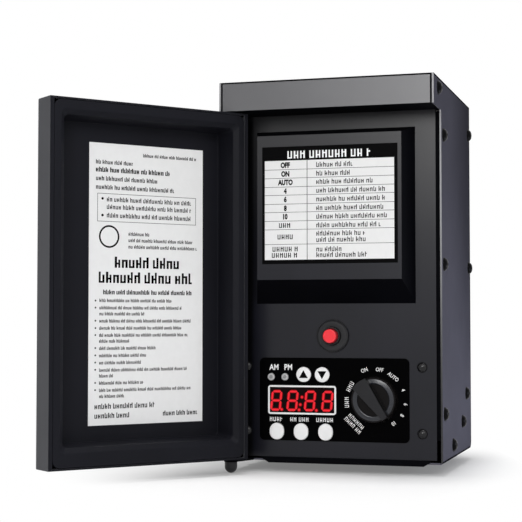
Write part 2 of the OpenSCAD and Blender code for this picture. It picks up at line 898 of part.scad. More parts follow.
// Selector: switch, nut, shaft and knob
module selector_switch() {
    color("#303034") hung() difference() {
        union() {
            rod(knob_x, knob_z, board_y - fit_gap, board_y - panel_back_y - 2 * fit_gap,
                selector_body_r);
            rod(knob_x, knob_z, panel_back_y + 2 * fit_gap,
                panel_t + timer_t + bushing_proud + 2 * fit_gap, bushing_r);
        }
        rod(knob_x, knob_z, panel_back_y + shaft_depth, shaft_depth + panel_t + timer_t
            + bushing_proud + overrun, shaft_r + shaft_clearance);
    }
}

module selector_nut() {
    color("#c8c8c8") hung() difference() {
        hex_rod(knob_x, knob_z, panel_y - timer_t, selector_nut_h, selector_nut_r);
        rod(knob_x, knob_z, panel_y - timer_t + overrun, selector_nut_h + 2 * overrun,
            bushing_r + fit_gap);
    }
}

module selector_shaft() {
    start = panel_back_y + shaft_depth - fit_gap;
    color("#c8c8c8") hung() rod(knob_x, knob_z, start, start - panel_y + timer_t + shaft_reach,
        shaft_r);
}

// Grip of the knob, seen from the front with its pointer to the right
module grip_outline() {
    polygon([[-knob_r, -grip_wide / 2], [knob_r, -grip_narrow / 2], [knob_r, grip_narrow / 2],
        [-knob_r, grip_wide / 2]]);
}

module selector_knob() {
    back = panel_y - timer_t - skirt_gap;
    color("#101012") hung() difference() {
        union() {
            translate([knob_x, back, knob_z]) rotate([90, 0, 0])
                cylinder(r1 = knob_r, r2 = knob_r - skirt_draft, h = skirt_h, $fn = fine_fn);
            intersection() {
                translate([knob_x, 0, knob_z]) rotate([0, -knob_angle, 0])
                    upright(back - skirt_h + grip_top, knob_h - skirt_gap - skirt_h + grip_top)
                        grip_outline();
                translate([knob_x, back, knob_z]) rotate([90, 0, 0])
                    cylinder(r1 = knob_r, r2 = knob_r - skirt_draft, h = knob_h - skirt_gap,
                        $fn = fine_fn);
            }
        }
        rod(knob_x, knob_z, back + overrun, selector_nut_h + 2 * overrun, selector_nut_r + skirt_gap);
        rod(knob_x, knob_z, back, bushing_proud, bushing_r + skirt_gap);
        rod(knob_x, knob_z, back + overrun, shaft_reach + overrun, shaft_r + fit_gap);
    }
}

// Reset breaker
module breaker_body() {
    color("#202022") hung() difference() {
        union() {
            upright(panel_back_y + fit_gap + breaker_d, breaker_d) translate([reset_x, reset_z])
                square([breaker_w, breaker_h], center = true);
            rod(reset_x, reset_z, panel_back_y + 2 * fit_gap, panel_t + neck_proud + 2 * fit_gap, neck_r);
        }
        rod(reset_x, reset_z, panel_back_y + reset_travel + button_stem_gap,
            panel_t + neck_proud + reset_travel + button_stem_gap + overrun,
            reset_r + button_clearance);
    }
}

module breaker_ring() {
    color("#202022") hung() difference() {
        union() {
            rod(reset_x, reset_z, panel_y, ring_h - ring_edge, ring_r, fine_fn);
            translate([reset_x, panel_y - ring_h + ring_edge, reset_z]) rotate([90, 0, 0])
                cylinder(r1 = ring_r, r2 = ring_r - ring_edge, h = ring_edge, $fn = fine_fn);
        }
        rod(reset_x, reset_z, panel_y + overrun, ring_h + 2 * overrun, neck_r + fit_gap);
    }
}

module breaker_tabs() {
    back = panel_back_y + fit_gap + breaker_d;
    color("#c8b060") hung() for (side = [-1, 1])
        translate([reset_x + side * tab_pitch / 2 - tab_w / 2, back, reset_z - tab_t / 2])
            cube([tab_w, tab_len, tab_t]);
}

module reset_button() {
    face = panel_y - reset_proud;
    start = panel_back_y + button_stem_gap - fit_gap;
    color("#c82020") hung() {
        rod(reset_x, reset_z, start, start - face - button_rim, reset_r);
        translate([reset_x, face + button_rim, reset_z]) rotate([90, 0, 0])
            cylinder(r1 = reset_r, r2 = reset_r - button_rim / 2, h = button_rim);
    }
}

// Toroidal transformer, turned about an axis along Y
module ring(r_in, r_out, len, r) {
    translate([0, core_mid_y, core_z]) rotate([90, 0, 0]) rotate_extrude($fn = fine_fn)
        translate([(r_in + r_out) / 2, 0]) rounded_rect(r_out - r_in, len, r);
}

module wound_ring(under) {
    d = under + winding_t;
    difference() {
        ring(core_hole_r - d, core_r + d, core_len + 2 * d, wound_corner_r);
        ring(core_hole_r - under, core_r + under, core_len + 2 * under, wound_corner_r);
    }
}

module transformer_core() {
    color("#707078") hung() ring(core_hole_r, core_r, core_len, wound_corner_r - 2 * wound_gap);
}

module primary_winding() { color("#a04a1c") hung() wound_ring(wound_gap); }

module secondary_winding() { color("#b8662c") hung() wound_ring(2 * wound_gap + winding_t); }

module core_pad(y) {
    color("#18181a") hung() difference() {
        rod(0, core_z, y, pad_t, pad_r, fine_fn);
        rod(0, core_z, y + overrun, pad_t + 2 * overrun, stud_r + fit_gap);
    }
}

wound_front_y = 2 * core_mid_y - core_back_y + wound_gap;

module rear_core_pad() { core_pad(-sheet_t); }

module front_core_pad() { core_pad(wound_front_y - wound_gap); }

module clamp_dish() {
    back = wound_front_y - wound_gap - pad_t;
    flat_r = dish_r * dish_flat_share;
    color("#9a9aa0") hung() translate([0, back, core_z]) rotate([90, 0, 0])
        rotate_extrude($fn = fine_fn) polygon([[stud_r + fit_gap, 0], [flat_r, 0],
            [dish_r - dish_depth, 0], [dish_r, dish_depth], [dish_r, dish_depth + dish_t],
            [dish_r - dish_t, dish_depth + dish_t], [dish_r - dish_depth - dish_t / 2, dish_t],
            [stud_r + fit_gap, dish_t]]);
}

module core_stud() {
    tip = -wound_front_y + 2 * pad_t + dish_t + stud_nut_h;
    color("#c8c8c8") hung() {
        rod(0, core_z, 0, sheet_t, stud_head_r);
        rod(0, core_z, 0, tip, stud_r);
    }
}

module core_nut() {
    back = wound_front_y - wound_gap - pad_t - dish_t;
    color("#c8c8c8") hung() difference() {
        hex_rod(0, core_z, back, stud_nut_h, stud_r * nut_flat_share);
        rod(0, core_z, back + overrun, stud_nut_h + 2 * overrun, stud_r + fit_gap);
    }
}

// Output terminals and cable glands on the slope
module terminal_block() {
    wide = terminal_n * terminal_pitch;
    color("#202022") hung() on_slope(0) {
        translate([-wide / 2, -terminal_depth / 2, 0]) cube([wide, terminal_depth, terminal_base]);
        for (i = [0 : terminal_n])
            translate([i * terminal_pitch - wide / 2 - barrier_t / 2, -terminal_depth / 2, 0])
                cube([barrier_t, terminal_depth, terminal_barrier]);
        translate([-boss_w / 2, -boss_depth / 2, -sheet_t - boss_h])
            cube([boss_w, boss_depth, sheet_t + boss_h + terminal_base / 2]);
    }
}

module terminal_screws() {
    color("#c8b060") hung() on_slope(0) for (i = [0 : terminal_n - 1])
        translate([(i + 1 / 2 - terminal_n / 2) * terminal_pitch, 0, terminal_base])
            cylinder(r = terminal_screw_r, h = terminal_screw_h);
}

module gland(x, hole_r) {
    color("#202022") hung() on_slope(x) difference() {
        union() {
            cylinder(r = gland_hex_r, h = gland_hex_h, $fn = 6);
            translate([0, 0, gland_hex_h]) cylinder(r1 = gland_cap_r, r2 = gland_thread_r, h = gland_cap_h);
            translate([0, 0, -gland_inner]) cylinder(r = gland_thread_r, h = gland_inner);
            translate([0, 0, -gland_inner]) cylinder(r = gland_cap_r, h = gland_inner - sheet_t - fit_gap);
        }
        translate([0, 0, -gland_inner - overrun])
            cylinder(r = hole_r, h = gland_inner + gland_hex_h + gland_cap_h + 2 * overrun);
    }
}

module cord_gland() { gland(gland_x, cord_hole_r); }

module sensor_gland() { gland(-gland_x, sensor_hole_r); }

module ground_screw() {
    color("#2f8f4a") hung() {
        rod(ground_x, ground_z, -sheet_t, ground_head_h, ground_head_r);
        rod(ground_x, ground_z, 0, sheet_t, ground_screw_r);
    }
}

// Internal leads: each is a round tube along a curve that leaves both ends straight
function unit(v) = v / norm(v);
function curve_at(p, t) = pow(1 - t, 3) * p[0] + 3 * t * pow(1 - t, 2) * p[1]
    + 3 * t * t * (1 - t) * p[2] + pow(t, 3) * p[3];
function slope_of(p, t) = unit(pow(1 - t, 2) * (p[1] - p[0]) + 2 * t * (1 - t) * (p[2] - p[1])
    + t * t * (p[3] - p[2]));

module lead(start, start_way, end, end_way) {
    n = lead_sides;
    p = [start, start + lead_pull * start_way, end + lead_pull * end_way, end];
    rings = [for (i = [0 : lead_steps]) let (t = i / lead_steps, d = slope_of(p, t),
            u = unit(cross(d, [1, 0, 0])), v = cross(d, u))
        for (k = [0 : n - 1]) curve_at(p, t) + lead_r * (cos(360 * k / n) * u + sin(360 * k / n) * v)];
    walls = [for (i = [0 : lead_steps - 1], k = [0 : n - 1]) let (a = i * n + k, b = i * n + (k + 1) % n)
        each [[a, b + n, b], [a, a + n, b + n]]];
    polyhedron(rings, concat([[for (k = [0 : n - 1]) k]], walls,
        [[for (k = [n - 1 : -1 : 0]) lead_steps * n + k]]), convexity = 4);
}

wound_r = core_r + 2 * winding_t + 2 * wound_gap;
into_house = [0, -sin(slope_angle), cos(slope_angle)];
function coil_end(x) = [x, core_mid_y,
    core_z - sqrt(pow(wound_r, 2) - pow(max(abs(x) - lead_r, 0), 2)) - seat_gap];
function tab_end(side) = [reset_x + side * tab_pitch / 2,
    panel_back_y + 2 * fit_gap + breaker_d + tab_len, reset_z];
function boss_end(x) = [x, slope_foot / 2, floor_z - slope_foot / 2 * tan(slope_angle)]
    + (sheet_t + boss_h + fit_gap) * into_house;

module primary_leads() {
    color("#1c1c1e") hung() for (side = [-1, 1])
        lead(coil_end(side * primary_lead_x), [0, 0, -1],
            [timer_x + side * plug_w / 4, board_y + board_t + plug_d + fit_gap, plug_z], [0, 1, 0]);
}

module secondary_leads() {
    color("#b02020") hung() {
        lead(coil_end(tab_lead_x), [0, 0, -1], tab_end(-1), [0, 1, 0]);
        lead(coil_end(terminal_lead_x), [0, 0, -1], boss_end(-boss_lead_x), into_house);
        lead(boss_end(boss_lead_x), into_house, tab_end(1), [0, 1, 0]);
    }
}

left_side_panel();
right_side_panel();
hood_cover();
back_plate();
bottom_plate();
left_side_rivets();
right_side_rivets();
front_panel();
front_screws();
instruction_label();
lower_hinge_pin();
upper_hinge_pin();
lower_hinge_washer();
upper_hinge_washer();
door_shell();
door_liner();
door_label();
lower_hinge_bush();
upper_hinge_bush();
timer_panel();
display_frame();
display_window();
display_module();
timer_board();
board_spacers();
board_nuts();
am_pm_lenses();
push_switches();
relay();
timer_chip();
capacitors();
board_plug();
up_button();
down_button();
clock_button();
timed_on_button();
timed_off_button();
selector_switch();
selector_nut();
selector_shaft();
selector_knob();
breaker_body();
breaker_ring();
breaker_tabs();
reset_button();
transformer_core();
primary_winding();
secondary_winding();
rear_core_pad();
front_core_pad();
clamp_dish();
core_stud();
core_nut();
terminal_block();
terminal_screws();
cord_gland();
sensor_gland();
ground_screw();
primary_leads();
secondary_leads();
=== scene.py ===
"""Finishes, printed detail, light and camera for the low voltage landscape transformer."""
import json
import math

import bmesh
import bpy
from bpy.props import FloatProperty, FloatVectorProperty, PointerProperty
from mathutils import Matrix, Vector


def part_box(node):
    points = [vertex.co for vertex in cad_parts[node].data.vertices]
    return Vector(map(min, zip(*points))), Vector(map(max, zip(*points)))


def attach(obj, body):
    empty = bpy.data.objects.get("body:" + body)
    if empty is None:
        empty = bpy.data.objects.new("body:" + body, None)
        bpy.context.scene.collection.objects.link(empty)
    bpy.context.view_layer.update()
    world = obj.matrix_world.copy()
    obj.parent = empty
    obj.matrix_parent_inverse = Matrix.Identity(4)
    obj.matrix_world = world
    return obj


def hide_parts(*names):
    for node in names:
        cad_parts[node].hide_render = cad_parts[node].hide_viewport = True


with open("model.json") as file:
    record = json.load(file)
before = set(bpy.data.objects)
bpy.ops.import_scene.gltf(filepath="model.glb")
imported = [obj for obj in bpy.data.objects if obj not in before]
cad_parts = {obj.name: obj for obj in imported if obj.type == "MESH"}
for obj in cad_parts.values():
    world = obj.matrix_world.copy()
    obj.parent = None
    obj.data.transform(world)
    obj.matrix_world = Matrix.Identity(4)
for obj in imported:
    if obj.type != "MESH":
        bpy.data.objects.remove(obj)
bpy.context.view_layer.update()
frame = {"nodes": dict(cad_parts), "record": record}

bl_info = {
    "name": "Landscape Transformer",
    "version": (1, 0, 0),
    "blender": (4, 5, 0),
    "location": "View3D > Sidebar > Transformer",
    "description": "Dresses the landscape transformer with its finishes, printed detail and stage",
    "category": "Object",
}

MM = 0.001
BOTTOM_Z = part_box("left_side_panel")[0].z
PANEL_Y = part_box("timer_panel")[1].y
TIMER_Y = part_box("timer_panel")[0].y
HINGE = Vector(next(joint["pos_m"] for joint in frame["record"]["behaviour"]["joints"]
                    if joint["name"] == "door_hinge"))
DOOR_TURN = math.radians(-130)  # From shut to as photographed
OPENED = Matrix.Translation(HINGE) @ Matrix.Rotation(DOOR_TURN, 4, "Z") @ Matrix.Translation(-HINGE)
WELD = 0.001 * MM  # Points of a mesh that are nearer to each other become one
LOOKS = 0.7  # Least share of a direction in the normal of a face that looks that way
PAINTED_SHADE_TONE = 0.12  # Tone of painted shade against the face round it
PAINTED_LIGHT_TONE = 1.3  # Tone of painted light on plastic against the sum of its colour
CAPITAL_SHARE = 0.73  # Height of the built-in font's capitals against its size
CREASE = math.radians(50)  # Edges sharper than this stay sharp in the shading


# Settings that a user would change

def swatch(name, description, default):
    return FloatVectorProperty(name=name, description=description, default=default, min=0, max=1,
                               subtype="COLOR")


def amount(name, description, default, low, high, **kind):
    return FloatProperty(name=name, description=description, default=default, min=low, max=high, **kind)


class FinishSettings(bpy.types.PropertyGroup):
    """Colours and surfaces."""
    # The side, door and hood coats stand for one paint; their different tones are painted light and shade:
    # the hood lighter, the side and door darker, the side bluer
    side_paint: swatch("Side paint", "Powder coat of the housing", (0.098, 0.096, 0.119))
    door_paint: swatch("Door paint", "Powder coat of the door", (0.086, 0.087, 0.095))
    hood_paint: swatch("Hood paint", "Powder coat of the rain hood", (0.125, 0.125, 0.131))
    panel_plastic: swatch("Panel plastic", "Moulded front panel", (0.005, 0.0053, 0.0095))
    liner_plastic: swatch("Liner plastic", "Moulded door liner", (0.0062, 0.0064, 0.0094))
    label_film: swatch("Label film", "White printed film", (0.83, 0.83, 0.83))
    reset_red: swatch("Reset red", "Moulded reset button", (0.9, 0.03, 0.045))
    display_glow: swatch("Display glow", "Lit segments of the display", (0.9, 0.026, 0.04))
    grain: amount("Coat grain", "Size of the grain in the powder coat", 0.0005, 0.0001, 0.002, unit="LENGTH")


class EdgeSettings(bpy.types.PropertyGroup):
    """Softened edges."""
    sheet: amount("Sheet edges", "Softening of sheared sheet metal", 0.00022, 0.0001, 0.0005, unit="LENGTH")
    moulded: amount("Moulded edges", "Softening of the moulded plastic", 0.0008, 0.0002, 0.001, unit="LENGTH")
    fine: amount("Small edges", "Softening of the small pieces", 0.0002, 0.0001, 0.0004, unit="LENGTH")


class StageSettings(bpy.types.PropertyGroup):
    """Floor, lamps and backdrop."""
    floor_drop: amount("Floor drop", "Distance of the floor below the housing", 0.0087, 0.005, 0.1,
                       unit="LENGTH")
    floor_glow: amount("Floor glow", "How much of its own light the floor shows close to the housing",
                       0.18, 0, 1, subtype="FACTOR")
    ambient: amount("Ambient", "Level of the light from all round", 0.22, 0, 2)
    key_lamp: amount("Key lamp", "Power of the lamp straight in front", 3.8, 0, 200, unit="POWER")
    front_lamp: amount("Front lamp", "Power of the lamp in front and to the right", 3.8, 0, 200, unit="POWER")
    side_lamp: amount("Side lamp", "Power of the cool lamp low at the right", 0.4, 0, 200, unit="POWER")
    top_lamp: amount("Top lamp", "Power of the lamp above", 14.0, 0, 200, unit="POWER")


def settings(kind):
    return getattr(bpy.context.scene, "transformer_" + kind)


# Materials

class Wire:
    """One output socket of a shader node; sums and products of wires add Math nodes."""

    def __init__(self, nodes, socket):
        self.nodes, self.socket = nodes, socket

    def __add__(self, other):
        return self.nodes.maths("ADD", self, other)

    def __sub__(self, other):
        return self.nodes.maths("SUBTRACT", self, other)

    def __rsub__(self, other):
        return self.nodes.maths("SUBTRACT", other, self)

    def __mul__(self, other):
        return self.nodes.maths("MULTIPLY", self, other)

    __radd__, __rmul__ = __add__, __mul__

    def ramp(self, low, high):
        """0 at low, 1 at high, smooth between."""
        return self.nodes.add("ShaderNodeMapRange", {"Value": self, "From Min": low, "From Max": high},
                              "Result", interpolation_type="SMOOTHSTEP")


class Nodes:
    """A node tree in the making."""

    def __init__(self, tree):
        self.tree = tree

    def fill(self, socket, value):
        if isinstance(value, Wire):
            self.tree.links.new(value.socket, socket)
        elif socket.type == "RGBA":
            socket.default_value = (*value, 1)[:4]
        else:
            socket.default_value = value

    def add(self, kind, values=None, out=0, **choices):
        """A node with its settings and the values or wires of its sockets, as the wire of one output."""
        node = self.tree.nodes.new(kind)
        for key, value in choices.items():
            setattr(node, key, value)
        for key, value in (values or {}).items():
            self.fill(node.inputs[key], value)
        return Wire(self, node.outputs[out])

    def maths(self, operation, *values, **choices):
        return self.add("ShaderNodeMath", dict(enumerate(values)), operation=operation, **choices)

    def reach(self, x, y):
        """Distance from the middle, for distances across and along."""
        return self.maths("SQRT", x * x + y * y)

    def seen(self):
        """1 on rays of the camera and of mirror-like or clear surfaces, 0 on light that falls on things."""
        camera, gloss, clear = [self.add("ShaderNodeLightPath", out=ray) for ray in (
            "Is Camera Ray", "Is Glossy Ray", "Is Transmission Ray")]
        return self.maths("ADD", camera + gloss, clear, use_clamp=True)


class Finish(Nodes):
    """A material in the making, with one Principled surface."""

    def __init__(self, name, colour, roughness, **constants):
        self.material = bpy.data.materials.new(name)
        self.material.use_nodes = True
        super().__init__(self.material.node_tree)
        self.surface = self.tree.nodes["Principled BSDF"]
        self.put("Base Color", colour)
        self.put("Roughness", roughness)
        for socket, value in constants.items():
            self.put(socket.replace("_", " "), value)
        self.material.diffuse_color = (*colour, 1)

    def put(self, socket, value):
        self.fill(self.surface.inputs[socket], value)

    def place(self):
        return self.add("ShaderNodeTexCoord", out="Object")

    def axes(self):
        place = self.place()
        return [self.add("ShaderNodeSeparateXYZ", {0: place}, axis) for axis in "XYZ"]

    def from_core(self):
        """Distances from the middle of the transformer's core, across and up."""
        x, _, z = self.axes()
        centre = middle("transformer_core")
        return x - centre.x, z - centre.z

    def noise(self, size, detail=2.0, stretch=None):
        """Noise whose grain is about the given size in metres; stretch squeezes it along an axis."""
        vector = self.place()
        if stretch:
            vector = self.add("ShaderNodeVectorMath", {0: vector, 1: stretch}, operation="MULTIPLY")
        return self.add("ShaderNodeTexNoise", {
            "Vector": vector, "Scale": 1 / size, "Detail": detail, "Roughness": 0.55})

    def ridges(self, angle):
        """A wave from 0 to 1 that rises and falls once for each full turn of an angle."""
        return (self.maths("SINE", angle) + 1) * 0.5

    def blend(self, mask, low, high):
        """Colour from low to high; sockets 6, 7 and 2 are the Mix node's two colours and its result."""
        return self.add("ShaderNodeMix", {0: mask, 6: low, 7: high}, 2, data_type="RGBA")

    def vary_colour(self, pattern, colour, low, high, painted_light=None, seam=None):
        """Wanders between two tints of a colour with a pattern.

        The last two are functions of the place: where light is painted on as a paler tone, and where shade is
        painted on as a darker one.
        """
        tone = self.blend(pattern, tint(colour, low), tint(colour, high))
        # Paler where light is painted on, darker where shade is painted on
        if painted_light:
            pale = sum(colour) * PAINTED_LIGHT_TONE
            tone = self.blend(painted_light(*self.axes()), tone, (pale, pale, pale * 1.1))
        if seam:
            tone = self.blend(seam(*self.axes()), tone, tint(colour, PAINTED_SHADE_TONE))
        self.put("Base Color", tone)

    def vary_roughness(self, usual, *spreads):
        """Roughness about its usual value; each spread is a pattern and how far it reaches."""
        total = usual - sum(reach for _, reach in spreads) / 2
        for pattern, reach in spreads:
            total = pattern * reach + total
        self.put("Roughness", total)

    def bump(self, height, depth, strength):
        """Raises the surface by height, which runs from 0 to 1, over a depth in metres."""
        self.put("Normal", self.add("ShaderNodeBump", {
            "Height": height, "Distance": depth, "Strength": strength}))
        return self


def tint(colour, factor):
    return tuple(min(1, c * factor) for c in colour)


def powder_coat(name, colour, roughness, level, seam=None):
    """Baked coat on steel: a fine orange peel with a slow drift in tone and gloss."""
    coat = Finish(name, colour, roughness, Specular_IOR_Level=level)
    drift = coat.noise(70 * MM, 3)
    peel = coat.noise(settings("finish").grain)
    coat.vary_colour(drift.ramp(0.3, 0.7), colour, 0.93, 1.07, seam=seam)
    coat.vary_roughness(roughness, (peel, 0.08), (drift, 0.06))
    return coat.bump(peel, 0.03 * MM, 0.35).material


def moulded(name, colour, roughness, level, painted_light=None, seam=None):
    """Moulded plastic with an etched grain and faint flow marks."""
    plastic = Finish(name, colour, roughness, Specular_IOR_Level=level)
    etch = plastic.noise(0.4 * MM, 3)
    flow = plastic.noise(40 * MM, 2, (1, 1, 0.35))
    plastic.vary_colour(flow.ramp(0.35, 0.65), colour, 0.9, 1.1, painted_light, seam)
    plastic.vary_roughness(roughness, (etch, 0.1), (flow, 0.05))
    return plastic.bump(etch, 0.02 * MM, 0.3).material


def polished(name, colour, roughness, level):
    """Smooth moulded or printed plastic with faint handling haze."""
    gloss = Finish(name, colour, roughness, Specular_IOR_Level=level)
    haze = gloss.noise(12 * MM, 3)
    gloss.vary_colour(haze.ramp(0.3, 0.7), colour, 0.97, 1.02)
    gloss.vary_roughness(roughness, (haze, 0.06))
    return gloss.material


def plated(name, colour, roughness):
    """Plated or bare metal with fine drawn lines."""
    metal = Finish(name, colour, roughness, Metallic=1.0)
    lines = metal.noise(0.9 * MM, 3, (1, 1, 9))
    cloud = metal.noise(10 * MM)
    metal.vary_colour(cloud.ramp(0.3, 0.7), colour, 0.9, 1.08)
    metal.vary_roughness(roughness, (lines, 0.14), (cloud, 0.08))
    return metal.bump(lines, 0.01 * MM, 0.3).material


def printed_film(name, colour, roughness, level):
    """Printed film: slight mottle and a soft satin."""
    film = Finish(name, colour, roughness, Specular_IOR_Level=level)
    mottle = film.noise(4 * MM, 3)
    film.vary_colour(mottle.ramp(0.25, 0.75), colour, 0.985, 1.01)
    film.vary_roughness(roughness, (mottle, 0.08))
    return film.bump(film.noise(0.6 * MM), 0.008 * MM, 0.25).material


def glowing(name, colour):
    """Lit print of the display, a little uneven along its strokes."""
    glow = Finish(name, tint(colour, 0.05), 0.4, Specular_IOR_Level=0.05, Emission_Strength=1.0)
    flicker = glow.noise(1.2 * MM).ramp(0.3, 0.7)
    glow.put("Emission Color", glow.blend(flicker, tint(colour, 0.9), colour))
    return glow.material


def wound_wire(name, colour, turns):
    """Enamelled wire laid round a ring: a ridge for each turn, seen as an angle round the core."""
    wire = Finish(name, colour, 0.3, Metallic=0.75, Coat_Weight=0.3)
    across, upward = wire.from_core()
    ridge = wire.ridges(wire.maths("ARCTAN2", upward, across) * turns)
    shade = wire.noise(20 * MM)
    # Painted shade and highlight: the wire is darker between its turns and lighter on their crests
    wire.vary_colour(ridge * 0.7 + shade * 0.3, colour, 0.55, 1.15)
    wire.vary_roughness(0.3, (shade, 0.12))
    return wire.bump(ridge, 0.6 * MM, 0.7).material


def wound_strip(name, colour):
    """Silicon steel strip wound into a core: fine rings on its end faces."""
    strip = Finish(name, colour, 0.35, Metallic=0.9)
    across, upward = strip.from_core()
    ring = strip.ridges(strip.reach(across, upward) * (9 / MM))
    cloud = strip.noise(12 * MM, 3)
    strip.vary_colour(ring * 0.5 + cloud * 0.5, colour, 0.7, 1.15)
    strip.vary_roughness(0.375, (cloud, 0.15))
    return strip.bump(ring, 0.15 * MM, 0.5).material


def circuit_board(name, colour):
    """Green lacquer over copper tracks that run in straight lanes."""
    board = Finish(name, colour, 0.3, Coat_Weight=0.4)
    lanes = board.add("ShaderNodeTexVoronoi", {"Vector": board.place(), "Scale": 260.0}, "Distance",
                      distance="MANHATTAN")
    tracks = lanes.ramp(0.52, 0.6)
    weave = board.noise(1.2 * MM)
    board.vary_colour(tracks * 0.6 + weave * 0.15, colour, 1, 2.1)
    board.vary_roughness(0.3, (weave, 0.12))
    return board.bump(tracks, 0.05 * MM, 0.5).material


def soft_skin(name, colour, roughness):
    """Rubber or wire insulation: dull, with a faint bloom."""
    skin = Finish(name, colour, roughness)
    bloom = skin.noise(6 * MM, 3)
    skin.vary_colour(bloom.ramp(0.3, 0.7), colour, 0.85, 1.25)
    skin.vary_roughness(roughness, (bloom, 0.16))
    return skin.bump(skin.noise(0.8 * MM), 0.02 * MM, 0.4).material


FINISHES = {}


def mix(maker, **recipes):
    """Makes a finish from each recipe, under its own name."""
    for name, recipe in recipes.items():
        FINISHES[name] = maker(name, *recipe)


# Forms

def middle(node):
    low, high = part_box(node)
    return (low + high) / 2


def facing(x, y, z):
    """Axes of a piece that faces the front: u to the right, v up, w out of the panel."""
    return Matrix(((1, 0, 0, x), (0, 0, -1, y), (0, 1, 0, z), (0, 0, 0, 1)))


def in_mm(place):
    """The same axes with their lengths in millimetres."""
    return place @ Matrix.Scale(MM, 4)


def print_face(y):
    """Axes of print that faces the front, in millimetres, v from the bottom edge."""
    return in_mm(facing(0, y, BOTTOM_Z))


def along(face, u, v, turn=0.0):
    """The axes of a face moved along it and then turned."""
    return face @ Matrix.Translation((u, v, 0)) @ Matrix.Rotation(turn, 4, "Z")


def sideways(side, y, z):
    """Axes of a piece on a side sheet: w out of the sheet."""
    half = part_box("right_side_panel")[1].x
    return Matrix(((0, 0, side, side * half), (side, 0, 0, y), (0, 1, 0, z), (0, 0, 0, 1)))


def inside_door():
    """Axes of the label inside the open door, in millimetres, u from its free edge."""
    shut = OPENED.inverted()
    corners = [shut @ v.co for v in frame["nodes"]["door_label"].data.vertices]
    edge, front = [max(getattr(corner, axis) for corner in corners) for axis in "xy"]
    place = Matrix(((-1, 0, 0, edge), (0, 0, 1, front), (0, 1, 0, BOTTOM_Z), (0, 0, 0, 1)))
    return in_mm(OPENED @ place)


def circle(r, steps, u=0.0, v=0.0):
    return [(u + r * math.cos(2 * math.pi * k / steps), v + r * math.sin(2 * math.pi * k / steps))
            for k in range(steps)]


def solids_of(node):
    """A CAD node's mesh, for reading or copying, with its double points joined."""
    part = bmesh.new()
    part.from_mesh(frame["nodes"][node].data)
    bmesh.ops.remove_doubles(part, verts=part.verts, dist=WELD)
    return part


def linked(name, data):
    """A new object in the scene."""
    item = bpy.data.objects.new(name, data)
    bpy.context.scene.collection.objects.link(item)
    return item


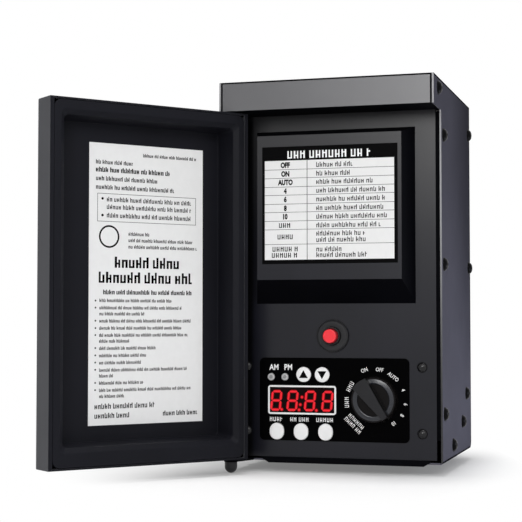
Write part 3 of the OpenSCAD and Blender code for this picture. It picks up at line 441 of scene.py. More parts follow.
class Form:
    """A mesh in the making, with its finishes."""

    def __init__(self, name):
        self.name, self.bm, self.finishes = name, bmesh.new(), {}

    def number(self, finish):
        return self.finishes.setdefault(finish, len(self.finishes))

    def slab(self, outline, place, low, high, finish, soften=0.0):
        """An outline in u and v, between two heights, with its upper edge softened."""
        index = self.number(finish)
        foot, head = [[self.bm.verts.new(place @ Vector((u, v, w))) for u, v in outline] for w in (low, high)]
        walls = [self.bm.faces.new((foot[i - 1], foot[i], head[i], head[i - 1])) for i in range(len(foot))]
        lid = self.bm.faces.new(head)
        for face in [*walls, lid, self.bm.faces.new(foot[::-1])]:
            face.material_index = index
        if soften:
            bmesh.ops.bevel(self.bm, geom=list(lid.edges), offset=soften, segments=2, profile=0.5,
                            affect="EDGES", clamp_overlap=True, material=index)

    def bar(self, u0, v0, u1, v1, place, low, high, finish, soften=0.0):
        self.slab([(u0, v0), (u1, v0), (u1, v1), (u0, v1)], place, low, high, finish, soften)

    def lathe(self, profile, place, finish, steps, stretch=0.0):
        """Turns a profile of (radius, height) about w; ends of radius zero, or at its start, close it."""
        turns = [2 * math.pi * (k + 0.5) / steps for k in range(steps)]
        index = self.number(finish)
        rings = []
        for radius, height in profile:
            if rings and (radius, height) == profile[0]:
                rings.append(rings[0])
            elif not radius:
                rings.append([self.bm.verts.new(place @ Vector((0, 0, height)))])
            else:
                rings.append([self.bm.verts.new(place @ Vector((
                    radius * math.cos(a), radius * math.sin(a) + math.copysign(stretch / 2, math.sin(a)),
                    height))) for a in turns])
        for a, b in zip(rings, rings[1:]):
            for k in range(steps):
                corners = dict.fromkeys(
                    (a[k % len(a)], a[(k + 1) % len(a)], b[(k + 1) % len(b)], b[k % len(b)]))
                if len(corners) > 2:
                    self.bm.faces.new(list(corners)).material_index = index

    def copy_of(self, node, finish, soften, steps=2, angle=28.0, cuts=(), **others):
        """The shape of a CAD node with its edges softened.

        others are further finishes, each with a test of which faces take it; cuts are the points nearest to
        the origin of planes that part the faces, so that a finish can end there.
        """
        index = self.number(finish)
        part = solids_of(node)
        bmesh.ops.dissolve_limit(part, angle_limit=math.radians(0.5), verts=part.verts,
                                 edges=part.edges, use_dissolve_boundaries=False)
        sharp = [e for e in part.edges if len(e.link_faces) == 2
                 and e.calc_face_angle(0) > math.radians(angle)]
        bmesh.ops.bevel(part, geom=sharp, offset=soften, segments=steps, profile=0.5,
                        affect="EDGES", clamp_overlap=True, loop_slide=True)
        for cut in cuts:
            bmesh.ops.bisect_plane(part, geom=[*part.verts, *part.edges, *part.faces], dist=WELD,
                                   plane_co=cut, plane_no=Vector(cut).normalized())
        for face in part.faces:
            face.material_index = index
            for second, test in others.items():
                if test(face.calc_center_median(), face.normal):
                    face.material_index = self.number(second)
        self.take(part)

    def take(self, part):
        """Adds another mesh in the making and frees it."""
        mesh = bpy.data.meshes.new("part")
        part.to_mesh(mesh)
        part.free()
        self.bm.from_mesh(mesh)
        bpy.data.meshes.remove(mesh)

    def text(self, words, size, place, low, high, finish, weight, squeeze):
        """Raised lettering on axes in millimetres, centred; size is the height of its capitals."""
        curve = bpy.data.curves.new("letters", "FONT")
        curve.body, curve.size = words, size * MM / CAPITAL_SHARE
        curve.align_x = curve.align_y = "CENTER"
        curve.offset, curve.resolution_u = weight * MM, 4
        letters = linked("letters", curve)
        bpy.context.view_layer.update()
        part = bmesh.new()
        part.from_mesh(letters.to_mesh())
        letters.to_mesh_clear()
        centre = [(min(spread) + max(spread)) / 2 for spread in zip(*[v.co for v in part.verts])]
        bmesh.ops.remove_doubles(part, verts=part.verts, dist=2 * WELD)
        bmesh.ops.delete(part, geom=[v for v in part.verts if not v.link_faces], context="VERTS")
        lower = bmesh.ops.extrude_face_region(part, geom=part.faces[:])
        for v in part.verts:
            v.co.z = low
        for item in lower["geom"]:
            if isinstance(item, bmesh.types.BMVert):
                item.co.z = high
        shift = Matrix.Translation((-centre[0], -centre[1], 0))
        grown = Matrix.Diagonal((squeeze / MM, 1 / MM, 1, 1))
        bmesh.ops.transform(part, matrix=place @ grown @ shift, verts=part.verts)
        bmesh.ops.recalc_face_normals(part, faces=part.faces)
        for face in part.faces:
            face.material_index = self.number(finish)
        self.take(part)
        bpy.data.objects.remove(letters)
        bpy.data.curves.remove(curve)

    def build(self, body, slot, *nodes):
        """Turns the form into an object that rides on a body and stands for CAD nodes."""
        bmesh.ops.recalc_face_normals(self.bm, faces=self.bm.faces)
        mesh = bpy.data.meshes.new(self.name)
        self.bm.to_mesh(mesh)
        self.bm.free()
        for finish in self.finishes:
            mesh.materials.append(FINISHES[finish])
        mesh.shade_smooth()
        mesh.set_sharp_from_angle(angle=CREASE)
        piece = linked(self.name, mesh)
        evened = piece.modifiers.new("even_shading", "WEIGHTED_NORMAL")
        evened.keep_sharp, evened.weight = True, 90
        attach(piece, body)
        if nodes:
            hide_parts(*nodes)


def softened(node, finish, body, slot, *shaping, **choices):
    """A CAD node's own shape with softened edges, in its place; the rest goes to Form.copy_of."""
    form = Form(node + "_finished")
    form.copy_of(node, finish, *shaping, **choices)
    form.build(body, slot, node)


def refinish(finish, *nodes):
    """CAD nodes that keep their own meshes and take a finish."""
    for node in nodes:
        materials = frame["nodes"][node].data.materials
        materials.clear()
        materials.append(FINISHES[finish])


# Pieces

class Piece:
    """What every operator shares."""
    bl_options = {"REGISTER", "UNDO"}


class TRANSFORMER_OT_finishes(Piece, bpy.types.Operator):
    """Makes every finish once"""
    bl_idname = "transformer.finishes"
    bl_label = "Finishes"

    def execute(self, context):
        f = settings("finish")
        # Colour, roughness, specular level, and where shade is painted on as a darker coat
        mix(powder_coat,
            # side: painted shade, darker towards the back and the top of the side sheets
            side=(f.side_paint, 0.6, 0.0, lambda x, y, z: y.ramp(-0.12, 0.0) * z.ramp(-0.25, -0.05) * 0.5
                  + z.ramp(-0.22, 0.01) * 0.2),
            # A near-black coat for painted shadow lines along the edges of the sheets and the hood
            seam=((0.003, 0.003, 0.004), 0.7, 0.0),
            hood=(f.hood_paint, 0.3, 0.4),
            door=(f.door_paint, 0.6, 0.1),
            # edge: a painted highlight, a light coat on the front edges of the side sheets, fading darker
            # towards the bottom
            edge=((0.36, 0.36, 0.37), 0.5, 0.1, lambda x, y, z: 1 - z.ramp(-0.2, -0.03)))
        # Colour, roughness, specular level, where light is painted on as a paler tone, and where shade is
        # painted on as a darker one
        mix(moulded,
            # panel: painted light, paler towards the top, and painted shade on a strip at the hinge side
            panel=(f.panel_plastic, 0.3, 0.26, lambda x, y, z: z.ramp(-0.09, -0.005),
                   lambda x, y, z: x.ramp(-0.0565, -0.0595)),
            # A darker copy of the panel plastic: painted shade on faces turned away from the light
            recess=(tint(f.panel_plastic, 0.25), 0.6, 0.03),
            liner=(f.liner_plastic, 0.55, 0.1),
            breaker=((0.015, 0.015, 0.016), 0.45, 0.2),
            terminal=((0.02, 0.02, 0.021), 0.45, 0.2),
            dark_part=((0.014, 0.014, 0.015), 0.5, 0.2),
            grey_part=((0.1, 0.1, 0.105), 0.5, 0.2),
            plug=((0.6, 0.56, 0.42), 0.45, 0.4),
            nylon=((0.6, 0.59, 0.53), 0.42, 0.4))
        # Colour, roughness and specular level
        mix(polished,
            rivet=((0.003, 0.003, 0.0035), 0.25, 0.04),
            hinge=((0.02, 0.02, 0.022), 0.35, 0.3),
            screw=((0.006, 0.006, 0.007), 0.12, 0.3),
            timer=((0.001, 0.001, 0.0012), 0.2, 0.01),
            frame=((0.9, 0.9, 0.9), 0.3, 0.3),
            window=((0.004, 0.0002, 0.0003), 0.15, 0.06),
            button=((0.92, 0.92, 0.92), 0.35, 0.3),
            lamp=((0.5, 0.5, 0.5), 0.3, 0.3),
            lamp_core=((0.27, 0.27, 0.27), 0.3, 0.3),
            knob=((0.006, 0.0052, 0.0052), 0.2, 0.08),
            # A lighter copy of the knob's plastic: painted sheen on the front of the grip
            knob_top=((0.011, 0.011, 0.013), 0.3, 0.22),
            # Lighter and bluer than the knob: painted sheen on the ring round its face
            knob_ring=((0.01, 0.012, 0.018), 0.18, 0.5),
            red=(f.reset_red, 0.3, 0.4),
            # A darker copy of the red: painted shade on the sides of the reset button
            red_rim=(tint(f.reset_red, 0.55), 0.3, 0.4),
            ring=((0.025, 0.025, 0.027), 0.4, 0.15),
            # A darker copy for walls: painted shade on the walls of the knob's grip and the breaker ring
            ring_wall=((0.004, 0.004, 0.0045), 0.35, 0.1),
            relay=((0.01, 0.06, 0.3), 0.25, 0.35),
            sleeve=((0.02, 0.02, 0.09), 0.3, 0.35),
            earth=((0.01, 0.25, 0.06), 0.3, 0.35))
        mix(printed_film,
            film=(f.label_film, 0.5, 0.2),
            ink=((0.002, 0.002, 0.0022), 0.5, 0.02),
            rule=((0.05, 0.05, 0.05), 0.5, 0.02),
            white_print=((0.95, 0.95, 0.95), 0.45, 0.1))
        mix(glowing, glow=(f.display_glow,), halo=((0.26, 0.001, 0.002),))
        # Colour and roughness
        mix(plated, zinc=((0.62, 0.62, 0.64), 0.3), brass=((0.72, 0.5, 0.2), 0.28))
        mix(soft_skin,
            rubber=((0.014, 0.014, 0.014), 0.7),
            black_lead=((0.012, 0.012, 0.012), 0.5),
            red_lead=((0.32, 0.012, 0.012), 0.5))
        # Colour, and the turns of wire
        mix(wound_wire, primary=((0.42, 0.13, 0.03), 260.0), secondary=((0.5, 0.18, 0.05), 150.0))
        mix(wound_strip, core=((0.35, 0.35, 0.37),))
        mix(circuit_board, board=((0.008, 0.09, 0.03),))
        return {"FINISHED"}


class TRANSFORMER_OT_camera(Piece, bpy.types.Operator):
    """Places the camera at the viewing angle of the reference"""
    bl_idname = "transformer.camera"
    bl_label = "Camera"

    def execute(self, context):
        lens = bpy.data.cameras.new("camera")
        lens.lens, lens.sensor_width, lens.clip_start, lens.clip_end = 97.53, 36, 0.05, 20
        camera = linked("camera", lens)
        camera.location = (0.22405, -1.0593, -0.1368)
        camera.rotation_euler = (math.radians(92.4616), 0, math.radians(16.545))
        context.scene.camera = camera
        return {"FINISHED"}


class TRANSFORMER_OT_housing(Piece, bpy.types.Operator):
    """Dresses the side sheets, hood, rear plate and floor sheet"""
    bl_idname = "transformer.housing"
    bl_label = "Housing sheets"

    def execute(self, context):
        edge = settings("edges").sheet
        low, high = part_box("right_side_panel")
        line = 1.1 * MM
        top, bottom, rear = high.z - line, low.z + line, high.y - line
        for node in ("left_side_panel", "right_side_panel"):
            softened(node, "side", "housing", "side_steel", edge,
                     cuts=[(0, 0, top), (0, 0, bottom), (0, rear, 0)],
                     # Painted shadow lines along the top, bottom and rear edges
                     seam=lambda at, normal: at.z > top or at.z < bottom or at.y > rear,
                     # A painted highlight on the sheets' front edges
                     edge=lambda at, normal: normal.y < -LOOKS)
        hood_front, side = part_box("hood_cover")[0].y + MM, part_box("hood_cover")[1].x - line
        softened("hood_cover", "hood", "housing", "hood_steel", edge,
                 cuts=[(0, 0, top), (side, 0, 0), (-side, 0, 0)],
                 # Painted shade on the hood's underside
                 recess=lambda at, normal: normal.z < -LOOKS,
                 # Painted shadow lines along the hood's top edge and its ends
                 seam=lambda at, normal: at.y < hood_front and (
                     at.z > top or abs(at.x) > side))
        softened("back_plate", "side", "housing", "side_steel", edge)
        front = low.y + 30 * MM
        softened("bottom_plate", "side", "housing", "side_steel", edge,
                 # Painted shade on the front strip of the floor sheet
                 recess=lambda at, normal: at.y < front and normal.y < LOOKS)
        return {"FINISHED"}


class TRANSFORMER_OT_rivets(Piece, bpy.types.Operator):
    """Makes the rivets of both side sheets and the four front screws"""
    bl_idname = "transformer.rivets"
    bl_label = "Rivets and screws"
    # Radius and height, in millimetres
    head = ((0, 2.3), (0.9, 2.34), (1.15, 2.62), (1.6, 2.7), (2.5, 2.48), (3.4, 1.9), (4.05, 1.15),
            (4.4, 0.6), (4.6, 0), (2.35, 0), (2.35, -5.2), (0, -5.2))
    dome = ((0, 2.2), (1.2, 2.08), (2.2, 1.68), (2.9, 1.05), (3.3, 0.45), (3.5, 0.12), (3.5, 0), (1.7, 0))

    def execute(self, context):
        for side, node in ((-1, "left_side_rivets"), (1, "right_side_rivets")):
            form = Form(node + "_finished")
            for y, z in self.centres(node):
                form.lathe(self.head, in_mm(sideways(side, y, z)), "rivet", 40)
            form.build("housing", "rivet_black", node)
        form = Form("front_screws_finished")
        tail = (PANEL_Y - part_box("front_screws")[1].y) / MM
        for x, z in self.centres("front_screws", "x"):
            form.lathe([*self.dome, (1.7, tail), (0, tail)], in_mm(facing(x, PANEL_Y, z)), "screw", 40)
        form.build("housing", "rivet_black", "front_screws")
        return {"FINISHED"}

    def centres(self, node, across="y"):
        """The middle of each separate solid of a node, across and up."""
        part = solids_of(node)
        found, left = [], set(part.verts)
        while left:
            solid = [left.pop()]
            for v in solid:
                near = left.intersection(e.other_vert(v) for e in v.link_edges)
                left -= near
                solid.extend(near)
            spots = [(getattr(v.co, across), v.co.z) for v in solid]
            found.append([(min(spread) + max(spread)) / 2 for spread in zip(*spots)])
        part.free()
        return sorted(found)


class TRANSFORMER_OT_front_panel(Piece, bpy.types.Operator):
    """Dresses the moulded front panel with its raised block"""
    bl_idname = "transformer.front_panel"
    bl_label = "Front panel"

    def execute(self, context):
        softened("front_panel", "panel", "housing", "panel_plastic", settings("edges").moulded, 3, 20,
                 # Painted shade on the raised block's walls and on the faces behind the panel's front
                 recess=lambda at, normal: at.y < PANEL_Y - 0.3 * MM and normal.y > -0.93
                 or at.y > PANEL_Y + MM)
        return {"FINISHED"}


class TRANSFORMER_OT_instruction_label(Piece, bpy.types.Operator):
    """Prints the ruled table on the raised block"""
    bl_idname = "transformer.instruction_label"
    bl_label = "Instruction label"
    # In millimetres: the table's edges and rules, and its words by height
    left, divider, right, gap = -43.9, -14.5, 44.5, 0.22
    rules = (201.4, 195.2, 189.4, 183.5, 178.0, 172.0, 166.5, 160.6, 154.9, 145.0, 134.5)
    settings_column = ((198.2, "OFF"), (192.3, "ON"), (186.6, "AUTO"), (180.8, "4"), (175.2, "6"),
                       (169.2, "8"), (163.6, "10"))
    greeked_settings = ((157.7, -34, -25), (150, -35, -24), (141.8, -38.5, -20.5), (137.7, -39, -20))
    greeked_notes = ((198, 17), (192.2, 16.5), (186.6, 31.8), (180.8, 39.1), (175, 39.1), (169.1, 39.1),
                     (163.4, 41.2), (157.6, 35.1), (152.1, 25.1), (147.9, 26), (141.6, 10.8), (137.8, 25.9))

    def execute(self, context):
        low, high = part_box("instruction_label")
        form = Form("instruction_label_finished")
        ground, base = -0.08, -0.04
        form.bar(low.x, low.z, high.x, high.z, facing(0, low.y, 0), low.y - high.y, ground * MM, "ink",
                 0.06 * MM)
        face = print_face(low.y)
        edge = self.gap * 0.7
        for upper, lower in zip(self.rules, self.rules[1:]):
            for u0, u1 in ((self.left, self.divider - self.gap), (self.divider + self.gap, self.right)):
                form.bar(u0, lower + edge, u1, upper - edge, face, ground, base, "film")
        form.bar(self.left, self.rules[-1], self.right, self.rules[0], face, ground, -0.06, "rule")
        for z, words in self.settings_column:
            form.text(words, 3.5, along(face, -29.6, z), base, -0.02, "ink", 0.28, 0.74)
        for z, u0, u1 in self.greeked_settings:
            greek(form, u0, u1, z, 3.2, face, "ink", 0.46, base, 0, True)
        for i, (z, u1) in enumerate(self.greeked_notes):
            greek(form, -8.2, u1, z, 3.3, face, "ink", 0.46, base, i)
        greek(form, -28.1, 28.8, 205.1, 5.0, face, "white_print", 0.46, ground, 3, True, 0.04)
        form.build("housing", "label_white", "instruction_label")
        return {"FINISHED"}


WORD_LENGTHS = (5, 2, 4, 3, 6, 2, 5, 4, 7, 3, 2, 5, 6, 4, 3, 8, 2, 4)
STROKE_HEIGHTS = (1.0, 0.74, 0.74, 1.0, 0.74, 0.78, 0.74, 1.0, 0.74, 0.74, 1.0, 0.76, 0.74)


def greek(form, u0, u1, v, cap, face, finish, weight, base, seed=0, capitals=False, proud=0.02):
    """A line of stand-in text: words of short linked strokes, which no one can read.

    It is laid in the units of its face; weight is the share of its pitch that a stroke fills.
    """
    pitch = cap * (0.44 if capitals else 0.36)
    left, word, stroke = WORD_LENGTHS[seed % len(WORD_LENGTHS)] * 2, seed, 0
    u = u0
    while u + pitch * 0.7 <= u1:
        if left == 0:
            u += pitch * 0.9
            word += 1
            left = WORD_LENGTHS[word % len(WORD_LENGTHS)] * 2
            continue
        tall = cap if capitals else cap * STROKE_HEIGHTS[(stroke * 5 + seed * 3) % len(STROKE_HEIGHTS)]
        wide = pitch * weight * (0.9 + 0.1 * ((stroke * 7 + seed) % 3))
        foot = v - cap / 2
        form.bar(u, foot, u + wide, foot + tall, face, base, base + proud, finish)
        if left > 1 and stroke % 2 == 0:
            rise = foot + (0, 0.56, 0.3)[(stroke // 2 * 5 + seed) % 3] * cap
            form.bar(u + wide, rise, u + pitch, rise + cap * 0.17, face, base, base + proud, finish)
        u += pitch
        stroke += 1
        left -= 1


class TRANSFORMER_OT_door(Piece, bpy.types.Operator):
    """Dresses the door's shell, its moulded liner and the hinge"""
    bl_idname = "transformer.door"
    bl_label = "Door"

    def execute(self, context):
        edge = settings("edges")
        inward = OPENED.to_3x3() @ Vector((0, 1, 0))
        softened("door_shell", "door", "door", "door_steel", edge.sheet,
                 liner=lambda at, normal: normal.dot(inward) > 0.3)
        softened("door_liner", "liner", "door", "liner_plastic", edge.moulded, 3, 20)
        softened("lower_hinge_pin", "hinge", "housing", "hinge_black", edge.fine)
        refinish("hinge", "upper_hinge_pin")
        refinish("nylon", "lower_hinge_washer", "upper_hinge_washer", "lower_hinge_bush", "upper_hinge_bush")
        return {"FINISHED"}


class TRANSFORMER_OT_door_label(Piece, bpy.types.Operator):
    """Prints the stand-in text on the label inside the door"""
    bl_idname = "transformer.door_label"
    bl_label = "Door label"
    # In millimetres from the label's free edge and the bottom edge. Each line: start, end, height, and
    # the height of its capitals and the weight of its strokes where it isn't a small line
    small = (2.2, 0.6)
    lines = ((39.2, 79.8, 202.4, 2.2, 0.62), (4.7, 31.8, 196.5, 2.7, 0.58), (4.7, 59.5, 191.6, 3.2, 0.68),
             (4.8, 51.2, 185.9, 2.9, 0.58), (4.8, 63.4, 180.3, 2.9, 0.58), (12.7, 75.7, 172.5, 3.0, 0.54),
             (12.7, 76.3, 167.6, 3.0, 0.54), (12.7, 75.7, 162.1, 3.0, 0.54), (28.6, 44.5, 150.4, 2.3, 0.58),
             (28.6, 77.3, 146.3, 2.3, 0.58), (28.6, 80.5, 142.1, 2.3, 0.58), (18.6, 66.9, 131.8, 7.2, 0.6),
             (7.1, 78.3, 121.9, 7.2, 0.6), (10.3, 76.6, 112.4, 3.0, 0.66), (7.7, 61.5, 107),
             (7.7, 69.2, 102.3), (7.7, 40.6, 98.4), (7.7, 75.8, 93.8), (7.6, 69, 89.2), (7.6, 73.8, 84.6),
             (7.6, 30.1, 80.8), (7.6, 49.6, 76.2), (7.6, 41.9, 71.5), (7.7, 39.1, 66.9), (7.7, 73, 62.2),
             (7.7, 18.2, 58.5), (7.7, 40.1, 53.9), (7.7, 75.9, 49.3), (7.8, 25.7, 45.4),
             (4.5, 48.9, 39, 3.4, 0.56), (4.5, 31, 33, 3.4, 0.56), (54.7, 81, 33.1, 3.2, 0.6))
    # Radius, sides, place across and heights of the round marks
    bullets = ((0.6, 10, 4.9, (106.8, 102.3, 93.9, 89.2, 84.7, 76.4, 71.7, 67.1, 62.5, 54.1, 49.5)),
               (0.9, 12, 9.6, (172.8, 162.0)))
    box = ((5.9, 157.9, 79.6, 158.2), (5.9, 175.9, 79.6, 176.2), (5.9, 157.9, 6.2, 176.2),
           (79.3, 157.9, 79.6, 176.2))

    def execute(self, context):
        form = Form("door_label_finished")
        face = inside_door()
        low, high = [(corner.z - BOTTOM_Z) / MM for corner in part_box("door_label")]
        base, ink = -0.06, -0.03
        form.bar(0, low, 85, high, face, -0.3, base, "film", 0.05 * MM)
        for i, (u0, u1, v, *style) in enumerate(self.lines):
            cap, weight = style or self.small
            greek(form, u0, u1, v, cap, face, "ink", weight, base, i)
        for r, sides, u, heights in self.bullets:
            for v in heights:
                form.slab(circle(r, sides, u, v), face, base, ink, "ink")
        for corners in self.box:
            form.bar(*corners, face, base, ink, "rule")
        inner, outer = [circle(r, 40, 14.5, 148.3) for r in (6.2, 7.4)]
        for k in range(len(inner)):
            form.slab([inner[k - 1], outer[k - 1], outer[k], inner[k]], face, base, ink, "ink")
        form.build("door", "label_white", "door_label")
        return {"FINISHED"}


class TRANSFORMER_OT_timer(Piece, bpy.types.Operator):
    """Dresses the timer panel with its display, captions and dial print"""
    bl_idname = "transformer.timer"
    bl_label = "Timer panel and display"
    # In degrees and millimetres from the knob's middle: the dial's words, then its stand-in words with
    # their lengths and heights; in millimetres: the digits across, and the dots across and up
    dial = ((-53, 19.6, "10"), (-30, 20.3, "8"), (-8, 20.2, "6"), (20, 19.6, "4"), (53, 19.4, "AUTO"),
            (83, 20.2, "OFF"), (112, 21.2, "ON"))
    greeked_dial = ((153, 19.6, 7.5, 2.9), (182, 20.1, 9.5, 2.9), (226, 20.0, 13.5, 2.6),
                    (226, 23.6, 15, 2.6))
    digits = (-41.2, -29.75, -17.5, -5.4)
    dots = ((-37.4, 33.7), (-25.2, 33.6), (-13.1, 33.4), (-23.1, 42.2), (-24.3, 37.1))

    def execute(self, context):
        softened("timer_panel", "timer", "housing", "timer_gloss", settings("edges").fine)
        softened("display_frame", "frame", "housing", "frame_white", 0.12 * MM)
        softened("display_window", "window", "housing", "window_red", 0.1 * MM)
        self.print_captions()
        self.light_display()
        return {"FINISHED"}

    def print_captions(self):
        form, face = Form("timer_print"), print_face(TIMER_Y)
        base, top = -0.02, 0.04
        knob = middle("selector_knob")
        knob_u, knob_v = knob.x / MM + 0.8, (knob.z - BOTTOM_Z) / MM

        def on_dial(degrees, radius):
            a = math.radians(degrees)
            return along(face, knob_u + radius * math.cos(a), knob_v + radius * math.sin(a), a - math.pi / 2)

        for u, words in ((-42.9, "AM"), (-32.7, "PM")):
            form.text(words, 4.0, along(face, u, 62.4), base, top, "white_print", 0.12, 0.83)
        for degrees, radius, words in self.dial:
            form.text(words, 2.6, on_dial(degrees, radius), base, top, "white_print", 0.04, 0.84)
        for i, (degrees, radius, length, cap) in enumerate(self.greeked_dial):
            greek(form, -length / 2, length / 2, 0, cap, on_dial(degrees, radius), "white_print", 0.3, base,
                  i + 2, True, top - base)
        for i, (u0, u1) in enumerate(((-45.7, -36.6), (-31.3, -17.8), (-13.1, 1.1))):
            greek(form, u0, u1, 27.1, 2.8, face, "white_print", 0.34, base, i + 4, True, top - base)
        form.build("housing", "frame_white")

    def light_display(self):
        face = print_face(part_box("display_window")[0].y)
        for name, stroke, proud, finish in (("display_halo", 2.2, 0.03, "halo"),
                                            ("display_digits", 1.3, 0.06, "glow")):
            form = Form(name)
            marks = [outline for x in self.digits for outline in self.digit(x, stroke / 2)]
            for outline in marks + [circle(stroke * 0.6, 14, *dot) for dot in self.dots]:
                form.slab(outline, face, -0.02, proud, finish)
            form.build("housing", "window_red")

    def digit(self, x, t):
        """Seven segments with cut ends, leaning a little to the right; t is half a stroke."""
        half, bottom, top, inset, lean = 3.05, 33.5, 45.9, 0.2, 0.1
        centre = (bottom + top) / 2
        corner = {side + row: Vector((u, v)) for side, u in (("l", -half), ("r", half))
                  for row, v in (("t", top), ("m", centre), ("b", bottom))}
        for first, last in (("lt", "rt"), ("lm", "rm"), ("lb", "rb"), ("lt", "lm"), ("rt", "rm"),
                            ("lm", "lb"), ("rm", "rb")):
            way = (corner[last] - corner[first]).normalized()
            across = Vector((way.y, -way.x)) * t
            start, end = corner[first] + way * inset, corner[last] - way * inset
            inner, outer = start + way * t, end - way * t
            outline = (start, inner + across, outer + across, end, outer - across, inner - across)
            yield [(x + u + (v - centre) * lean, v) for u, v in outline]


class TRANSFORMER_OT_buttons(Piece, bpy.types.Operator):
    """Makes the timer's push buttons and its two lamps"""
    bl_idname = "transformer.buttons"
    bl_label = "Buttons and lamps"

    def execute(self, context):
        for node in ("up_button", "down_button", "clock_button", "timed_on_button", "timed_off_button"):
            self.cap(node)
        low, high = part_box("am_pm_lenses")
        form = Form("am_pm_lenses_finished")
        r = (high.z - low.z) / 2
        back, proud = TIMER_Y - high.y, TIMER_Y - low.y
        bowl, rim, crest = (1.2 * MM, proud * 0.7), (1.4 * MM, proud), (2.1 * MM, proud * 0.8)
        for x in (low.x + r, high.x - r):
            face = facing(x, TIMER_Y, (low.z + high.z) / 2)
            form.lathe([bowl, rim, crest, (r, 0.1 * MM), (r, back), (0, back)], face, "lamp", 40)
            form.lathe([(0, proud * 0.85), (0.7 * MM, proud * 0.8), bowl], face, "lamp_core", 40)
        bmesh.ops.remove_doubles(form.bm, verts=form.bm.verts, dist=WELD)
        form.build("housing", "lens_clear", "am_pm_lenses")
        return {"FINISHED"}

    def cap(self, node):
        """A domed cap with a flange behind the panel and a stem to its switch."""
        low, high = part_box(node)
        flange = (high.x - low.x) / 2
        stretch = high.z - low.z - 2 * flange
        panel_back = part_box("board_spacers")[0].y
        r, shelf, deep, stem = flange - MM, low.y - panel_back - 0.05 * MM, low.y - high.y, 1.75 * MM
        centre = middle(node)
        face = facing(centre.x, low.y, centre.z)
        form = Form(node + "_finished")
        form.lathe([(0, -0.01 * MM), (r * 0.7, -0.03 * MM), (r * 0.9, -0.1 * MM), (r * 0.97, -0.25 * MM),
                    (r, -0.5 * MM), (r, shelf), (flange, shelf), (flange, shelf - MM), (stem, shelf - MM),
                    (stem, deep), (0, deep)], face, "button", 64, stretch)
        way = {"up_button": 1, "down_button": -1}.get(node)
        if way:
            arrow = [(-3.05 * MM, -2.35 * MM * way), (3.05 * MM, -2.35 * MM * way), (0, 2.95 * MM * way)]
            form.slab(arrow[::way], face, -0.12 * MM, 0.0, "ink")
        form.build(node.replace("_button", ""), "button_white", node)


class TRANSFORMER_OT_selector(Piece, bpy.types.Operator):
    """Makes the selector knob"""
    bl_idname = "transformer.selector"
    bl_label = "Selector knob"

    def execute(self, context):
        low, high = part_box("selector_knob")
        knob = middle("selector_knob")
        rim = (high.z - low.z) / 2 - MM
        form = Form("selector_knob_finished")
        form.copy_of("selector_knob", "knob", 0.5 * MM, 3,
                     # Painted sheen on the grip's front face
                     knob_top=lambda at, normal: at.y < low.y + 0.2 * MM and normal.y < -0.95,
                     # Painted shade on the walls of the grip
                     ring_wall=lambda at, normal: abs(normal.y) < 0.3 and math.hypot(
                         at.x - knob.x, at.z - knob.z) < rim)
        # How far in from the rim, and how high, in millimetres
        profile = ((4.2, -0.3), (4.2, 0), (4, 0.3), (3.4, 0.4), (0.5, -0.1), (0.2, -0.3), (4.2, -0.3))
        # The ring's shape and gloss catch the lamps; its lighter, bluer tone is a painted sheen
        form.lathe([(rim - inward * MM, height * MM) for inward, height in profile],
                   facing(knob.x, high.y - 5 * MM, knob.z), "knob_ring", 72)
        form.build("selector", "knob_black", "selector_knob")
        refinish("zinc", "selector_shaft", "selector_nut")
        refinish("grey_part", "selector_switch")
        return {"FINISHED"}


class TRANSFORMER_OT_reset(Piece, bpy.types.Operator):
    """Makes the reset button, its ring and the breaker behind them"""
    bl_idname = "transformer.reset"
    bl_label = "Reset button"

    def execute(self, context):
        edge = 0.4 * MM
        softened("breaker_ring", "ring", "housing", "breaker_black", edge, 3, 20,
                 # Painted shade on the ring's walls
                 ring_wall=lambda at, normal: normal.y > -0.3)
        softened("breaker_body", "breaker", "housing", "breaker_black", edge, 3)
        softened("reset_button", "red", "reset", "reset_red", edge, 4, 20,
                 # Painted shade on the button's sides
                 red_rim=lambda at, normal: normal.y > -0.8)
        refinish("brass", "breaker_tabs")
        return {"FINISHED"}


class TRANSFORMER_OT_inner_parts(Piece, bpy.types.Operator):
    """Gives finishes to the parts inside the housing and under it"""
    bl_idname = "transformer.inner_parts"
    bl_label = "Inner parts"
    finishes = {
        "dark_part": "display_module timer_chip", "board": "timer_board",
        "zinc": "board_spacers board_nuts clamp_dish core_stud core_nut", "grey_part": "push_switches",
        "relay": "relay", "sleeve": "capacitors", "plug": "board_plug", "core": "transformer_core",
        "primary": "primary_winding", "secondary": "secondary_winding",
        "rubber": "rear_core_pad front_core_pad", "brass": "terminal_screws", "earth": "ground_screw",
        "black_lead": "primary_leads", "red_lead": "secondary_leads"}

    def execute(self, context):
        for finish, nodes in self.finishes.items():
            refinish(finish, *nodes.split())
        for node in ("terminal_block", "cord_gland", "sensor_gland"):
            softened(node, "terminal", "housing", "breaker_black", settings("edges").fine)
        return {"FINISHED"}


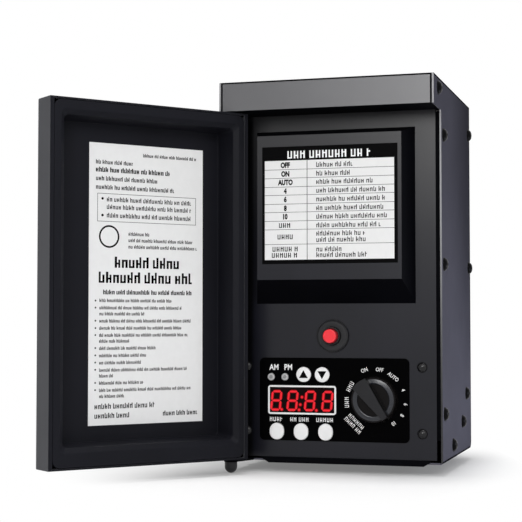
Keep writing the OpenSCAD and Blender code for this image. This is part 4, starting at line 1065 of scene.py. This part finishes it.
class TRANSFORMER_OT_stage(Piece, bpy.types.Operator):
    """Lays the floor, hangs the soft lamps and sets the pale backdrop"""
    bl_idname = "transformer.stage"
    bl_label = "Stage"
    aim = Vector((0, -0.1, -0.11))
    shadow_y = -0.09

    def execute(self, context):
        s = settings("stage")
        self.lay_floor(s)
        for name, place, size, power, tone in (
                ("key_lamp", (0.03, -1.2, 0.22), 0.34, s.key_lamp, (1, 1, 1)),
                ("front_lamp", (0.62, -1.1, 0.52), 0.6, s.front_lamp, (1, 1, 1)),
                ("side_lamp", (0.32, -0.03, -0.2), 0.16, s.side_lamp, (0.8, 0.86, 1.0)),
                ("top_lamp", (0.0, -0.2, 1.4), 0.4, s.top_lamp, (1, 1, 1))):
            lamp = bpy.data.lights.new(name, "AREA")
            lamp.shape, lamp.size, lamp.energy, lamp.color = "SQUARE", size, power, tone
            holder = linked(name, lamp)
            holder.location = place
            holder.rotation_euler = (self.aim - Vector(place)).to_track_quat("-Z", "Y").to_euler()
        world = bpy.data.worlds.new("backdrop")
        context.scene.world = world
        world.use_nodes = True
        sky = Nodes(world.node_tree)
        background = sky.tree.nodes["Background"]
        sky.fill(background.inputs["Color"], (1, 1, 1))
        sky.fill(background.inputs["Strength"], sky.seen() * (1 - s.ambient) + s.ambient)
        context.scene.view_settings.view_transform = "Standard"
        return {"FINISHED"}

    def lay_floor(self, s):
        """A floor that fades into the backdrop away from the housing, and keeps its shadow close by."""
        bm = bmesh.new()
        bmesh.ops.create_grid(bm, x_segments=12, y_segments=12, size=3)
        bmesh.ops.translate(bm, vec=(0, 0, BOTTOM_Z - s.floor_drop), verts=bm.verts)
        mesh = bpy.data.meshes.new("floor")
        bm.to_mesh(mesh)
        bm.free()
        pale = Finish("pale_floor", (0.93, 0.93, 0.93), 0.9, Specular_IOR_Level=0.0)
        pale.vary_colour(pale.noise(0.4).ramp(0.3, 0.7), (0.93, 0.93, 0.93), 0.99, 1.01)
        x, y, _ = pale.axes()
        away = pale.reach(x, y - self.shadow_y)
        share = (away.ramp(0.09, 0.21) + x.ramp(0.07, 0.12) * 0.75) * (1 - s.floor_glow)
        share = pale.maths("ADD", share, s.floor_glow, use_clamp=True)
        mixed = pale.add("ShaderNodeMixShader", {
            0: pale.seen() * share, 1: Wire(pale, pale.surface.outputs[0]),
            2: pale.add("ShaderNodeEmission")})
        pale.fill(pale.tree.nodes["Material Output"].inputs["Surface"], mixed)
        mesh.materials.append(pale.material)
        linked("floor", mesh)


# Panel and registration

SETTINGS = {"finish": FinishSettings, "edges": EdgeSettings, "stage": StageSettings}
OPERATORS = (
    TRANSFORMER_OT_finishes, TRANSFORMER_OT_camera, TRANSFORMER_OT_housing, TRANSFORMER_OT_rivets,
    TRANSFORMER_OT_front_panel, TRANSFORMER_OT_instruction_label, TRANSFORMER_OT_door,
    TRANSFORMER_OT_door_label, TRANSFORMER_OT_timer, TRANSFORMER_OT_buttons, TRANSFORMER_OT_selector,
    TRANSFORMER_OT_reset, TRANSFORMER_OT_inner_parts, TRANSFORMER_OT_stage)


class TRANSFORMER_PT_sidebar(bpy.types.Panel):
    """Lists the transformer's pieces and settings"""
    bl_label = "Landscape Transformer"
    bl_idname = "TRANSFORMER_PT_sidebar"
    bl_space_type = "VIEW_3D"
    bl_region_type = "UI"
    bl_category = "Transformer"

    def draw(self, context):
        for operator in OPERATORS:
            self.layout.operator(operator.bl_idname)
        for kind in SETTINGS:
            group = settings(kind)
            box = self.layout.box()
            box.label(text=kind.capitalize())
            for name in group.__annotations__:
                box.prop(group, name)


CLASSES = (*SETTINGS.values(), *OPERATORS, TRANSFORMER_PT_sidebar)


def register():
    for item in CLASSES:
        bpy.utils.register_class(item)
    for kind, group in SETTINGS.items():
        setattr(bpy.types.Scene, "transformer_" + kind, PointerProperty(type=group))


def unregister():
    for kind in SETTINGS:
        delattr(bpy.types.Scene, "transformer_" + kind)
    for item in reversed(CLASSES):
        bpy.utils.unregister_class(item)


def main():
    register()
    for operator in OPERATORS:
        getattr(bpy.ops.transformer, operator.bl_idname.split(".")[1])()
    bpy.context.view_layer.update()


if __name__ == "__main__":
    main()
